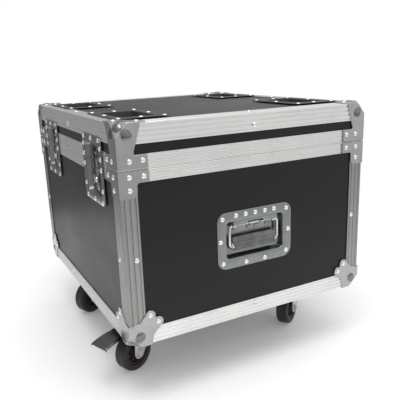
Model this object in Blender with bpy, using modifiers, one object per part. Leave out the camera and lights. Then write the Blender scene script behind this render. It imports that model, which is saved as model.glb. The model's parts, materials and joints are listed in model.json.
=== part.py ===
"""A plywood flight case for moving head lights, on four swivel castors, with a hinged lid.

The case stands on the XY plane, centred on Z. Its handles are on the front (-Y) and back (+Y),
its latches on the left (-X) and its hinges on the right (+X). All sizes are in metres.
"""

import math

import bmesh
import bpy
from mathutils import Matrix, Vector

# ---- driving dimensions -------------------------------------------------------------------------
CASE_WIDTH = 0.500
CASE_DEPTH = 0.550
BASE_HEIGHT = 0.300
LID_HEIGHT = 0.0735
CASTOR_HEIGHT = 0.105
BOARD_THICKNESS = 0.009
PLYWOOD = 0.009
SKIN = 0.0015
GAP = 0.0003

# ---- worked out from them -----------------------------------------------------------------------
HALF_WIDTH = CASE_WIDTH / 2
HALF_DEPTH = CASE_DEPTH / 2
BASE_BOTTOM = CASTOR_HEIGHT + BOARD_THICKNESS
PARTING = BASE_BOTTOM + BASE_HEIGHT
LID_TOP = PARTING + LID_HEIGHT
PANEL_OUT = SKIN + GAP
PANEL_IN = PANEL_OUT + PLYWOOD
SLOT_IN = PANEL_IN + GAP
INNER_WALL = SLOT_IN + 0.0012

# ---- aluminium edge profiles --------------------------------------------------------------------
EDGE_FLANGE = 0.030
TOP_FLANGE = 0.033
SHELF = 0.022
BASE_RIM_HEIGHT = 0.020
LID_RIM_HEIGHT = 0.0245
GROOVE_DEPTH = 0.005
RIM_WEB = 0.0015
RIM_LEG = 0.015
TONGUE_DEPTH = 0.004
TONGUE = (0.0046, 0.0078)
GROOVE = (0.0034, 0.0090)

# ---- fittings -----------------------------------------------------------------------------------
SHEET = 0.0012
PAN_ROOM = 2 * (SHEET + 0.0006)
CORNER_PROUD = 0.004
CORNER_SIZE = 0.034
CORNER_EDGE_RADIUS = 0.008
CORNER_BALL_CENTRE = 0.018
CORNER_BALL_RADIUS = 0.028
CORNER_CUT = 0.020

HANDLE_PLATE = (0.158, 0.105)
HANDLE_PLATE_RADIUS = 0.018
HANDLE_RECESS = (0.121, 0.067)
HANDLE_DEPTH = 0.013
HANDLE_HEIGHT = 0.1525
HANDLE_PIVOT_UP = 0.024
HANDLE_PIVOT_IN = 0.0065
HANDLE_REACH = 0.036
HANDLE_WIRE = 0.003
GRIP = (0.092, 0.026, 0.011)

LATCH_PLATE = (0.110, 0.118)
LATCH_RECESS = (0.078, 0.090)
LATCH_DROP = 0.013
LATCH_FLOOR = 0.0085
LATCH_SPACING = 0.300
WING_DROP = 0.033
WING = (0.030, 0.042)
HOOK_WIDTH = 0.022

DISH_PLATE = (0.101, 0.158)
DISH_RECESS = (0.062, 0.108)
DISH_DEPTH = 0.021

HINGE_STANDOFF = 0.004
HINGE_RADIUS = 0.0032
HINGE_PIN = 0.0015
HINGE_KNUCKLE = 0.012
HINGE_LEAF = 0.030
HINGE_SETBACK = 0.0042

# ---- castors ------------------------------------------------------------------------------------
CASTOR_INSET_X = 0.069
CASTOR_INSET_Y = 0.131
WHEEL_RADIUS = 0.0375
WHEEL_WIDTH = 0.026
HUB_WIDTH = 0.0304
TRAIL = 0.0255
AXLE_RADIUS = 0.004
FORK_INNER = 0.0156
FORK_SHEET = 0.0025
MOUNT_PLATE = (0.092, 0.064, 0.0025)
MOUNT_BOLTS = (0.074, 0.046)
PEDAL_PIVOT = (0.024, -0.020)
PEDAL_PIN = 0.0025
PEDAL_TIP = 0.110
PEDAL_WIDTH = 0.044
CASTORS = {
    "front_left": (-1, -1, 22),
    "front_right": (1, -1, 34),
    "back_left": (-1, 1, 24),
    "back_right": (1, 1, 22 + 180),
}
BRAKED = ("front_left", "back_right")
CORNERS = {name: sides[:2] for name, sides in CASTORS.items()}

FINISHES = {
    "black_laminate": ((0.020, 0.020, 0.022), 0.0, 0.38),
    "ribbed_aluminium": ((0.72, 0.72, 0.72), 1.0, 0.38),
    "zinc_steel": ((0.50, 0.51, 0.51), 1.0, 0.32),
    "black_steel": ((0.05, 0.05, 0.055), 0.4, 0.42),
    "black_rubber": ((0.022, 0.022, 0.024), 0.0, 0.62),
    "grip_rubber": ((0.09, 0.09, 0.09), 0.0, 0.55),
    "grey_foam": ((0.06, 0.06, 0.065), 0.0, 0.95),
}


# ---- scene helpers ------------------------------------------------------------------------------
def clear_scene():
    for old in list(bpy.data.objects):
        bpy.data.objects.remove(old, do_unlink=True)


def make_collection(name):
    made = bpy.data.collections.new(name)
    bpy.context.scene.collection.children.link(made)
    return made


def make_materials():
    made = {}
    for name, (colour, metallic, roughness) in FINISHES.items():
        material = bpy.data.materials.new(name)
        material.use_nodes = True
        shader = material.node_tree.nodes["Principled BSDF"]
        shader.inputs["Base Color"].default_value = (*colour, 1.0)
        shader.inputs["Metallic"].default_value = metallic
        shader.inputs["Roughness"].default_value = roughness
        made[name] = material
    return made


clear_scene()
CASE = make_collection("flight_case")
HELPERS = make_collection("cutters")
MATERIALS = make_materials()


def link_object(name, data, collection=None):
    made = bpy.data.objects.new(name, data)
    (collection or HELPERS).objects.link(made)
    return made


def mesh_object(name, bm):
    """A working object from a bmesh, which is freed."""
    bmesh.ops.recalc_face_normals(bm, faces=bm.faces)
    mesh = bpy.data.meshes.new(name)
    bm.to_mesh(mesh)
    bm.free()
    return link_object(name, mesh)


def evaluated_mesh(obj):
    """The object's mesh with its modifiers applied and its loose caps welded."""
    bpy.context.view_layer.update()
    graph = bpy.context.evaluated_depsgraph_get()
    mesh = bpy.data.meshes.new_from_object(obj.evaluated_get(graph))
    bm = bmesh.new()
    bm.from_mesh(mesh)
    bmesh.ops.remove_doubles(bm, verts=bm.verts, dist=1e-6)
    bmesh.ops.recalc_face_normals(bm, faces=bm.faces)
    bm.to_mesh(mesh)
    bm.free()
    return mesh


def as_mesh(obj):
    """Replaces a curve or a modified object by its plain mesh, in the same place."""
    made = link_object(obj.name, evaluated_mesh(obj))
    made.matrix_world = obj.matrix_world
    bpy.data.objects.remove(obj, do_unlink=True)
    return made


def combine(target, others, operation):
    """Joins the others to the target, or cuts them from it, and removes them."""
    for other in others:
        modifier = target.modifiers.new(operation.lower(), "BOOLEAN")
        modifier.operation = operation
        modifier.solver = "EXACT"
        modifier.object = other
    made = as_mesh(target)
    for other in others:
        bpy.data.objects.remove(other, do_unlink=True)
    return made


def finish_part(obj, name, finish, frame=None, parent=None):
    """Names a working object as a part of the case, gives it its finish and places it."""
    obj.name = name
    obj.data.name = name
    obj.data.materials.clear()
    obj.data.materials.append(MATERIALS[finish])
    HELPERS.objects.unlink(obj)
    CASE.objects.link(obj)
    if frame is not None:
        obj.matrix_world = frame
    if parent is not None:
        bpy.context.view_layer.update()
        world = obj.matrix_world.copy()
        obj.parent = parent
        obj.matrix_parent_inverse = parent.matrix_world.inverted()
        obj.matrix_world = world
    obj.data.shade_smooth()
    obj.data.set_sharp_from_angle(angle=math.radians(35))
    return obj


def make_empty(name, frame, parent=None):
    empty = link_object(name, None, CASE)
    empty.matrix_world = frame
    bpy.context.view_layer.update()
    if parent is not None:
        empty.parent = parent
        empty.matrix_parent_inverse = parent.matrix_world.inverted()
    return empty


def face_frame(face, along=0.0, height=0.0):
    """A frame on an outer face of the case: X to the right, Y up, and Z out of the face."""
    right, up, out, origin = {
        "front": ((1, 0, 0), (0, 0, 1), (0, -1, 0), (0, -HALF_DEPTH, 0)),
        "back": ((-1, 0, 0), (0, 0, 1), (0, 1, 0), (0, HALF_DEPTH, 0)),
        "left": ((0, -1, 0), (0, 0, 1), (-1, 0, 0), (-HALF_WIDTH, 0, 0)),
        "right": ((0, 1, 0), (0, 0, 1), (1, 0, 0), (HALF_WIDTH, 0, 0)),
        "top": ((1, 0, 0), (0, 1, 0), (0, 0, 1), (0, 0, LID_TOP)),
    }[face]
    place = Vector(origin) + Vector(right) * along + Vector(up) * height
    axes = Matrix((right, up, out)).transposed().to_4x4()
    return Matrix.Translation(place) @ axes


# ---- shape helpers ------------------------------------------------------------------------------
def box(low, high):
    bm = bmesh.new()
    size = Vector(high) - Vector(low)
    centre = (Vector(high) + Vector(low)) / 2
    bmesh.ops.create_cube(bm, size=1.0, matrix=Matrix.Translation(centre) @ Matrix.Diagonal((*size, 1)))
    return mesh_object("box", bm)


def cylinder(start, end, radius, sides=10):
    """A closed cylinder from start to end."""
    axis = Vector(end) - Vector(start)
    turn = axis.to_track_quat("Z", "Y").to_matrix().to_4x4()
    place = Matrix.Translation((Vector(start) + Vector(end)) / 2) @ turn
    bm = bmesh.new()
    bmesh.ops.create_cone(
        bm,
        cap_ends=True,
        segments=sides,
        radius1=radius,
        radius2=radius,
        depth=axis.length,
        matrix=place,
    )
    return mesh_object("cylinder", bm)


def arc(centre, radius, start, end, steps):
    """Points on an arc, with its angles in degrees."""
    angles = [math.radians(start + (end - start) * i / steps) for i in range(steps + 1)]
    return [(centre[0] + radius * math.cos(a), centre[1] + radius * math.sin(a)) for a in angles]


def rounded_rectangle(width, height, radius, centre=(0.0, 0.0), steps=3):
    """The outline of a rectangle with round corners, anticlockwise."""
    points = []
    for quarter, (sx, sy) in enumerate(((1, 1), (-1, 1), (-1, -1), (1, -1))):
        middle = (centre[0] + sx * (width / 2 - radius), centre[1] + sy * (height / 2 - radius))
        points += arc(middle, radius, 90 * quarter, 90 * quarter + 90, steps)
    return points


def circle(centre, radius, sides=16):
    return arc(centre, radius, 0, 360, sides)[:-1]


def plate(outlines, low, high):
    """A flat plate from one outline and any holes in it, between two heights."""
    curve = bpy.data.curves.new("plate", "CURVE")
    curve.dimensions = "2D"
    curve.fill_mode = "BOTH"
    curve.extrude = (high - low) / 2
    for outline in outlines:
        spline = curve.splines.new("POLY")
        spline.points.add(len(outline) - 1)
        for point, (x, y) in zip(spline.points, outline):
            point.co = (x, y, 0.0, 1.0)
        spline.use_cyclic_u = True
    obj = link_object("plate", curve)
    made = as_mesh(obj)
    made.data.transform(Matrix.Translation((0, 0, (low + high) / 2)))
    return made


def turned(profile, steps=32, axis="Z"):
    """A solid of revolution. The closed profile is (radius, height), its outer side first, going down."""
    bm = bmesh.new()
    points = [bm.verts.new((radius, 0.0, height)) for radius, height in profile]
    for a, b in zip(points, points[1:] + points[:1]):
        bm.edges.new((a, b))
    mesh = bpy.data.meshes.new("turned")
    bm.to_mesh(mesh)
    bm.free()
    obj = link_object("turned", mesh)
    screw = obj.modifiers.new("screw", "SCREW")
    screw.steps = steps
    screw.render_steps = steps
    screw.use_merge_vertices = True
    screw.merge_threshold = 1e-5
    made = as_mesh(obj)
    if axis == "Y":
        made.data.transform(Matrix.Rotation(math.radians(90), 4, "X"))
    return made


def sleeve(start, end, radius, bore):
    """A short tube from start to end."""
    length = math.dist(start, end)
    made = turned([(radius, length), (radius, 0), (bore, 0), (bore, length)], steps=10)
    turn = (Vector(end) - Vector(start)).to_track_quat("Z", "Y").to_matrix().to_4x4()
    made.data.transform(Matrix.Translation(start) @ turn)
    return made


def mitred_frame(section, half_width, half_depth):
    """A rectangular frame with mitred corners. The section is (inset, height) points."""
    bm = bmesh.new()
    corners = []
    for sx, sy in ((-1, -1), (1, -1), (1, 1), (-1, 1)):
        ring = [(sx * (half_width - inset), sy * (half_depth - inset), height) for inset, height in section]
        corners.append([bm.verts.new(point) for point in ring])
    count = len(section)
    for here, there in zip(corners, corners[1:] + corners[:1]):
        for i in range(count):
            j = (i + 1) % count
            bm.faces.new((here[i], here[j], there[j], there[i]))
    return mesh_object("frame", bm)


def pressed_pan(rings, thickness, keep=None):
    """A pressed sheet: (outline, height) rings from the rim to the floor, thickened behind its face.

    keep is (y, side): the part of the sheet above (1) or below (-1) that height is kept.
    """
    bm = bmesh.new()
    loops = [[bm.verts.new((x, y, height)) for x, y in outline] for outline, height in rings]
    count = len(loops[0])
    for outer, inner in zip(loops, loops[1:]):
        for i in range(count):
            j = (i + 1) % count
            bm.faces.new((outer[i], outer[j], inner[j], inner[i]))
    bm.faces.new(loops[-1])
    if keep is not None:
        level, side = keep
        everything = bm.verts[:] + bm.edges[:] + bm.faces[:]
        cut = {"plane_co": (0, level, 0), "plane_no": (0, -side, 0)}
        bmesh.ops.bisect_plane(bm, geom=everything, clear_outer=True, **cut)
    mesh = bpy.data.meshes.new("pan")
    bm.to_mesh(mesh)
    bm.free()
    obj = link_object("pan", mesh)
    solidify = obj.modifiers.new("sheet", "SOLIDIFY")
    solidify.thickness = thickness
    solidify.offset = -1.0
    solidify.use_even_offset = True
    return as_mesh(obj)


# ---- plywood ------------------------------------------------------------------------------------
def latch_places():
    """Distances along the left face, in its own frame, of the two latches."""
    return {"front": LATCH_SPACING / 2, "back": -LATCH_SPACING / 2}


def build_wall_panels():
    low = BASE_BOTTOM + PANEL_OUT
    high = PARTING - GROOVE_DEPTH - RIM_WEB - GAP
    middle = (low + high) / 2
    long_side = CASE_DEPTH - 2 * PANEL_OUT
    short_side = CASE_WIDTH - 2 * (INNER_WALL + GAP)
    clearance = 0.0015
    hole_size = [side + PAN_ROOM for side in HANDLE_RECESS]
    handle_hole = rounded_rectangle(*hole_size, 0.008, (0, BASE_BOTTOM + HANDLE_HEIGHT - middle))
    for face in ("front", "back"):
        outline = rounded_rectangle(short_side, high - low, 0.001, steps=1)
        wall = plate([outline, handle_hole], -PANEL_IN, -PANEL_OUT)
        finish_part(wall, f"{face}_panel", "black_laminate", face_frame(face, 0, middle))
    notch_floor = PARTING - LATCH_DROP - LATCH_RECESS[1] / 2 - clearance - middle
    for face in ("left", "right"):
        half, top, bottom = long_side / 2, high - middle, low - middle
        outline = [(-half, bottom), (half, bottom), (half, top)]
        if face == "left":
            for along in sorted(latch_places().values(), reverse=True):
                reach = LATCH_RECESS[0] / 2 + clearance
                outline += [(along + reach, top), (along + reach, notch_floor)]
                outline += [(along - reach, notch_floor), (along - reach, top)]
        outline.append((-half, top))
        wall = plate([outline], -PANEL_IN, -PANEL_OUT)
        finish_part(wall, f"{face}_panel", "black_laminate", face_frame(face, 0, middle))


def build_flat_panels():
    inset = INNER_WALL + GAP
    size = (HALF_WIDTH - inset, HALF_DEPTH - inset)
    floor = box((-size[0], -size[1], BASE_BOTTOM + PANEL_OUT), (size[0], size[1], BASE_BOTTOM + PANEL_IN))
    finish_part(floor, "floor_panel", "black_laminate")
    holes = []
    for sx, sy in CORNERS.values():
        centre = (sx * (HALF_WIDTH - CASTOR_INSET_X), sy * (HALF_DEPTH - CASTOR_INSET_Y))
        holes.append(rounded_rectangle(DISH_RECESS[0] + PAN_ROOM, DISH_RECESS[1] + PAN_ROOM, 0.008, centre))
    outline = rounded_rectangle(2 * size[0], 2 * size[1], 0.001, steps=1)
    top = plate([outline, *holes], LID_TOP - PANEL_IN, LID_TOP - PANEL_OUT)
    finish_part(top, "lid_top_panel", "black_laminate")
    low = PARTING + RIM_WEB + 2 * GAP
    high = LID_TOP - PANEL_OUT
    section = [(PANEL_OUT, low), (PANEL_IN, low), (PANEL_IN, high), (PANEL_OUT, high)]
    walls = mitred_frame(section, HALF_WIDTH, HALF_DEPTH)
    reach = LATCH_RECESS[0] / 2 + 0.0015
    notch_top = PARTING - LATCH_DROP + LATCH_RECESS[1] / 2 + 0.0015
    cutters = []
    for along in latch_places().values():
        cutter = box((-reach, -0.01, -0.02), (reach, notch_top - PARTING, 0.01))
        cutter.matrix_world = face_frame("left", along, PARTING)
        cutters.append(cutter)
    walls = combine(walls, cutters, "DIFFERENCE")
    finish_part(walls, "lid_wall_strips", "black_laminate")
    pad_inset = SHELF + 0.002
    pad_low = BASE_BOTTOM + INNER_WALL + 0.001
    pad = box(
        (pad_inset - HALF_WIDTH, pad_inset - HALF_DEPTH, pad_low),
        (HALF_WIDTH - pad_inset, HALF_DEPTH - pad_inset, pad_low + 0.020),
    )
    finish_part(pad, "foam_floor_pad", "grey_foam")


def build_castor_boards():
    board_width = 0.110
    for side, sx in (("left", -1), ("right", 1)):
        centre = sx * (HALF_WIDTH - CASTOR_INSET_X)
        reach = HALF_DEPTH - CASTOR_INSET_Y + 0.055
        low = (centre - board_width / 2, -reach, BASE_BOTTOM - BOARD_THICKNESS + GAP)
        board = box(low, (centre + board_width / 2, reach, BASE_BOTTOM - GAP))
        finish_part(board, f"castor_board_{side}", "black_laminate")


# ---- aluminium edging ---------------------------------------------------------------------------
def edge_section(flange_in, flange_up):
    """The double angle: an outer angle, and an inner wall and shelf that hold the two panels."""
    return [
        (0, 0),
        (flange_in, 0),
        (flange_in, SKIN),
        (INNER_WALL, SKIN),
        (INNER_WALL, SLOT_IN),
        (SHELF, SLOT_IN),
        (SHELF, INNER_WALL),
        (INNER_WALL, INNER_WALL),
        (INNER_WALL, EDGE_FLANGE - 0.010),
        (SLOT_IN, EDGE_FLANGE - 0.010),
        (SLOT_IN, SKIN),
        (SKIN, SKIN),
        (SKIN, flange_up),
        (0, flange_up),
    ]


def corner_trim(level, up):
    """Cutters that take the four sharp corners off a frame, where the ball corners sit."""
    cutters = []
    reach = 0.06
    for sx, sy in CORNERS.values():
        out = Vector((sx, sy, -up)).normalized()
        corner = Vector((sx * HALF_WIDTH, sy * HALF_DEPTH, level))
        start = corner - out * (CORNER_CUT / math.sqrt(3))
        cutters.append(cylinder(start, start + out * reach, reach, sides=12))
    return cutters


def build_edge_frames():
    section = [(inset, BASE_BOTTOM + up) for inset, up in edge_section(EDGE_FLANGE, EDGE_FLANGE)]
    bottom = mitred_frame(section, HALF_WIDTH, HALF_DEPTH)
    bottom = combine(bottom, corner_trim(BASE_BOTTOM, 1), "DIFFERENCE")
    finish_part(bottom, "bottom_edge_frame", "ribbed_aluminium")
    section = [(inset, LID_TOP - down) for inset, down in edge_section(EDGE_FLANGE, TOP_FLANGE)]
    top = mitred_frame(section, HALF_WIDTH, HALF_DEPTH)
    top = combine(top, corner_trim(LID_TOP, -1), "DIFFERENCE")
    finish_part(top, "lid_top_edge_frame", "ribbed_aluminium")


def latch_notches():
    """Cutters for the latches' recesses through the two rims."""
    cutters = []
    reach = LATCH_RECESS[0] / 2 + 0.001
    for along in latch_places().values():
        cutter = box((-reach, -0.03, -0.0102), (reach, 0.04, 0.01))
        cutter.matrix_world = face_frame("left", along, PARTING)
        cutters.append(cutter)
    return cutters


def build_rims():
    top = -GAP / 2
    groove_floor = -GROOVE_DEPTH
    web = groove_floor - RIM_WEB
    base_section = [
        (0, -BASE_RIM_HEIGHT),
        (SKIN, -BASE_RIM_HEIGHT),
        (SKIN, web),
        (SLOT_IN, web),
        (SLOT_IN, -RIM_LEG),
        (INNER_WALL, -RIM_LEG),
        (INNER_WALL, top),
        (GROOVE[1], top),
        (GROOVE[1], groove_floor),
        (GROOVE[0], groove_floor),
        (GROOVE[0], top),
        (0, top),
    ]
    bottom = GAP / 2
    web = bottom + RIM_WEB
    lid_section = [
        (0, bottom),
        (TONGUE[0], bottom),
        (TONGUE[0], -TONGUE_DEPTH),
        (TONGUE[1], -TONGUE_DEPTH),
        (TONGUE[1], bottom),
        (INNER_WALL, bottom),
        (INNER_WALL, RIM_LEG),
        (SLOT_IN, RIM_LEG),
        (SLOT_IN, web),
        (SKIN, web),
        (SKIN, LID_RIM_HEIGHT),
        (0, LID_RIM_HEIGHT),
    ]
    for name, section in (("base_groove_rim", base_section), ("lid_tongue_rim", lid_section)):
        rim = mitred_frame([(inset, PARTING + up) for inset, up in section], HALF_WIDTH, HALF_DEPTH)
        rim = combine(rim, latch_notches(), "DIFFERENCE")
        finish_part(rim, name, "ribbed_aluminium")


def build_corner_posts():
    low = BASE_BOTTOM + EDGE_FLANGE + GAP
    high = PARTING - BASE_RIM_HEIGHT - GAP
    section = edge_section(EDGE_FLANGE, EDGE_FLANGE)
    for name, (sx, sy) in CORNERS.items():
        outline = [(sx * (HALF_WIDTH - u), sy * (HALF_DEPTH - v)) for u, v in section]
        finish_part(plate([outline], low, high), f"corner_post_{name}", "ribbed_aluminium")


# ---- ball corners -------------------------------------------------------------------------------
def corner_shell(legs):
    """A pressed ball corner at the origin, with the case on its positive sides.

    legs holds one outline for each of the three faces, in the face's two coordinates.
    """
    bm = bmesh.new()
    side = CORNER_SIZE + CORNER_PROUD
    middle = (CORNER_SIZE - CORNER_PROUD) / 2
    bmesh.ops.create_cube(bm, size=side, matrix=Matrix.Translation((middle, middle, middle)))
    near = [e for e in bm.edges if sum(v.co[i] < 0 for v in e.verts for i in range(3)) >= 4]
    bmesh.ops.bevel(bm, geom=near, offset=CORNER_EDGE_RADIUS, segments=2, profile=0.5, affect="EDGES")
    shell = mesh_object("corner", bm)
    bm = bmesh.new()
    ball = Matrix.Translation((CORNER_BALL_CENTRE,) * 3)
    bmesh.ops.create_uvsphere(bm, u_segments=12, v_segments=8, radius=CORNER_BALL_RADIUS, matrix=ball)
    shell = combine(shell, [mesh_object("ball", bm)], "INTERSECT")
    turns = (
        Matrix(((1, 0, 0, 0), (0, 1, 0, 0), (0, 0, 1, 0), (0, 0, 0, 1))),
        Matrix(((1, 0, 0, 0), (0, 0, 1, 0), (0, 1, 0, 0), (0, 0, 0, 1))),
        Matrix(((0, 0, 1, 0), (1, 0, 0, 0), (0, 1, 0, 0), (0, 0, 0, 1))),
    )
    leaves = []
    for outline, turn in zip(legs, turns):
        leaf = plate([outline], -GAP - SHEET, -GAP)
        leaf.data.transform(turn)
        if turn.determinant() < 0:
            leaf.data.flip_normals()
        leaves.append(leaf)
    shell = combine(shell, leaves, "UNION")
    return combine(shell, [box((-GAP, -GAP, -GAP), (0.1, 0.1, 0.1))], "DIFFERENCE")


def eared_leaf():
    """The bottom corner's leaf: a square with two round ears, and an arc cut towards the edges."""
    ear = 0.0095
    first, second = (0.038, 0.052), (0.052, 0.038)
    points = [(-0.0014, -0.0014), (0.040, -0.0014), (0.043, 0.016)]
    points += arc(second, ear, -60, 75, 4)
    points += arc(first, ear, 15, 150, 4)
    points += [(0.016, 0.043), (-0.0014, 0.040)]
    return points


def lid_side_leaf():
    """The lid corner's leaf on a wall, measured from the corner along the edge and down."""
    return [
        (-0.0014, -0.0014),
        (0.041, -0.0014),
        (0.041, 0.004),
        (0.028, LID_HEIGHT - LID_RIM_HEIGHT - 0.003),
        (0.028, LID_HEIGHT - LID_RIM_HEIGHT),
        (0.051, LID_HEIGHT - LID_RIM_HEIGHT),
        (0.051, LID_HEIGHT - 0.0006),
        (-0.0014, LID_HEIGHT - 0.0006),
    ]


def lid_top_leaf():
    near, far = -0.0014, 0.051
    return [(near, near), (far, near), (far, 0.024), (0.033, 0.033), (0.024, far), (near, far)]


def build_ball_corners():
    ear = eared_leaf()
    side = lid_side_leaf()
    for name, (sx, sy) in CORNERS.items():
        mirror = Matrix.Diagonal((-sx, -sy, 1, 1))
        foot = corner_shell((ear, ear, ear))
        place_mirrored(foot, mirror, (sx * HALF_WIDTH, sy * HALF_DEPTH, BASE_BOTTOM))
        finish_part(foot, f"ball_corner_{name}", "zinc_steel")
        head = corner_shell((lid_top_leaf(), side, side))
        mirror = Matrix.Diagonal((-sx, -sy, -1, 1))
        place_mirrored(head, mirror, (sx * HALF_WIDTH, sy * HALF_DEPTH, LID_TOP))
        finish_part(head, f"lid_corner_{name}", "zinc_steel")


def place_mirrored(obj, mirror, place):
    """Mirrors the mesh itself, so that the object keeps a plain placement."""
    obj.data.transform(mirror)
    if mirror.determinant() < 0:
        obj.data.flip_normals()
    obj.location = place


# ---- spring handles -----------------------------------------------------------------------------
def build_handles():
    front = -GAP
    rings = [
        (rounded_rectangle(*HANDLE_PLATE, HANDLE_PLATE_RADIUS), front),
        (rounded_rectangle(*HANDLE_RECESS, 0.007), front),
        (rounded_rectangle(HANDLE_RECESS[0] - 0.007, HANDLE_RECESS[1] - 0.007, 0.005), front - HANDLE_DEPTH),
    ]
    for face in ("front", "back"):
        frame = face_frame(face, 0, BASE_BOTTOM + HANDLE_HEIGHT)
        finish_part(pressed_pan(rings, SHEET), f"handle_dish_{face}", "zinc_steel", frame)
        half = GRIP[0] / 2 + 0.005
        corner = 0.005
        loop = rounded_rectangle(2 * half, HANDLE_REACH, corner, (0, -HANDLE_REACH / 2), steps=2)
        curve = bpy.data.curves.new("bail", "CURVE")
        curve.dimensions = "3D"
        curve.bevel_depth = HANDLE_WIRE
        curve.bevel_resolution = 1
        spline = curve.splines.new("POLY")
        spline.points.add(len(loop) - 1)
        for point, (x, y) in zip(spline.points, loop):
            point.co = (x, y, 0, 1)
        spline.use_cyclic_u = True
        bail = as_mesh(link_object("bail", curve))
        section = rounded_rectangle(GRIP[1], GRIP[2], GRIP[2] / 2 - 0.0002, steps=3)
        grip = plate([section], -GRIP[0] / 2, GRIP[0] / 2)
        right_angle = math.radians(90)
        grip.data.transform(Matrix.Rotation(right_angle, 4, "Y") @ Matrix.Rotation(right_angle, 4, "Z"))
        grip.data.transform(Matrix.Translation((0, -HANDLE_REACH + 0.003, 0.0)))
        bail = combine(bail, [grip], "UNION")
        pivot = frame @ Matrix.Translation((0, HANDLE_PIVOT_UP, -HANDLE_PIVOT_IN))
        finish_part(bail, f"handle_bail_{face}", "grip_rubber", pivot)


# ---- butterfly latches --------------------------------------------------------------------------
def build_latches():
    plate_front = GAP + SHEET
    centre = (0, -LATCH_DROP)
    rings = [
        (rounded_rectangle(*LATCH_PLATE, 0.014, centre), plate_front),
        (rounded_rectangle(*LATCH_RECESS, 0.008, centre), plate_front),
        (rounded_rectangle(LATCH_RECESS[0] - 0.005, LATCH_RECESS[1] - 0.005, 0.006, centre), -LATCH_FLOOR),
    ]
    sheet = 0.001
    for name, along in latch_places().items():
        frame = face_frame("left", along, PARTING)
        dish = pressed_pan(rings, sheet, keep=(-GAP, -1))
        finish_part(dish, f"latch_dish_{name}", "zinc_steel", frame)
        keeper = pressed_pan(rings, sheet, keep=(GAP, 1))
        finish_part(keeper, f"latch_keeper_{name}", "zinc_steel", frame)
        build_latch_wing(name, frame)
        build_latch_hook(name, frame)


def build_latch_wing(name, frame):
    """The turning wing, with its origin on the spindle."""
    spindle_radius = 0.0045
    wing = plate([rounded_rectangle(*WING, WING[0] / 2 - 0.0001, steps=5)], 0.0020, 0.0040)
    hub = cylinder((0, 0, GAP), (0, 0, 0.0052), spindle_radius)
    wing = combine(wing, [hub], "UNION")
    spindle = frame @ Matrix.Translation((0, -WING_DROP, -LATCH_FLOOR))
    finish_part(wing, f"latch_wing_{name}", "zinc_steel", spindle)


def build_latch_hook(name, frame):
    """The sliding hook plate, with its nose over the keeper."""
    sheet = 0.0012
    half = HOOK_WIDTH / 2
    foot = -WING_DROP + 0.006
    head = 0.017
    outline = [(-half, foot), (half, foot), (half, head - 0.004), (half - 0.004, head), (-half + 0.004, head)]
    outline.append((-half, head - 0.004))
    window = [(-0.005, 0.004), (0.005, 0.004), (0.005, 0.010), (-0.005, 0.010)]
    hook = plate([outline, window], GAP, GAP + sheet)
    nose = box((-half + 0.004, head - 0.004, GAP + sheet / 2), (half - 0.004, head - 0.0002, 0.0045))
    hook = combine(hook, [nose], "UNION")
    finish_part(hook, f"latch_hook_{name}", "zinc_steel", frame @ Matrix.Translation((0, 0, -LATCH_FLOOR)))


# ---- stacking dishes and hinges -----------------------------------------------------------------
def build_stacking_dishes():
    front = GAP + SHEET
    rings = [
        (rounded_rectangle(*DISH_PLATE, 0.008), front),
        (rounded_rectangle(*DISH_RECESS, 0.008), front),
        (rounded_rectangle(DISH_RECESS[0] - 0.012, DISH_RECESS[1] - 0.012, 0.004), -DISH_DEPTH),
    ]
    for name, (sx, sy) in CORNERS.items():
        frame = face_frame("top", sx * (HALF_WIDTH - CASTOR_INSET_X), sy * (HALF_DEPTH - CASTOR_INSET_Y))
        finish_part(pressed_pan(rings, SHEET), f"stacking_dish_{name}", "black_steel", frame)


def build_hinges():
    """Two butt hinges. Their five knuckles are shared out three to two, and the pin is the base leaf's."""
    half = 2.5 * HINGE_KNUCKLE
    spans = [(i * HINGE_KNUCKLE - half + GAP, (i + 1) * HINGE_KNUCKLE - half - GAP) for i in range(5)]
    pin_ends = [(side * (half + 0.0012), 0, HINGE_STANDOFF) for side in (-1, 1)]
    for name, along in latch_places().items():
        frame = face_frame("right", -along, PARTING)
        for part, side, own in (("base", -1, spans[0::2]), ("lid", 1, spans[1::2])):
            near, far = sorted((side * HINGE_SETBACK, side * HINGE_LEAF))
            leaf = box((-half, near, GAP), (half, far, GAP + SKIN))
            pieces = []
            for low, high in own:
                near, far = sorted((side * 0.0005, side * (HINGE_SETBACK + 0.002)))
                pieces.append(box((low + GAP, near, GAP + 0.0001), (high - GAP, far, GAP + SKIN - 0.0001)))
                a, b = (low, 0, HINGE_STANDOFF), (high, 0, HINGE_STANDOFF)
                if part == "base":
                    pieces.append(cylinder(a, b, HINGE_RADIUS))
                else:
                    pieces.append(sleeve(a, b, HINGE_RADIUS, HINGE_PIN + GAP))
            if part == "base":
                pieces.append(cylinder(*pin_ends, HINGE_PIN, sides=8))
            finish_part(combine(leaf, pieces, "UNION"), f"hinge_{part}_leaf_{name}", "zinc_steel", frame)


# ---- castors ------------------------------------------------------------------------------------
def build_mount_plate():
    width, depth, thick = MOUNT_PLATE
    bolt_x, bolt_y = MOUNT_BOLTS[0] / 2, MOUNT_BOLTS[1] / 2
    holes = [circle((sx * bolt_x, sy * bolt_y), 0.0042, 8) for sx, sy in CORNERS.values()]
    base = plate([rounded_rectangle(width, depth, 0.006, steps=3), *holes], -thick, 0)
    race = turned([(0.023, -0.002), (0.024, -0.009), (0.012, -0.009), (0.012, -0.002)], steps=16)
    return combine(base, [race], "UNION")


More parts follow.
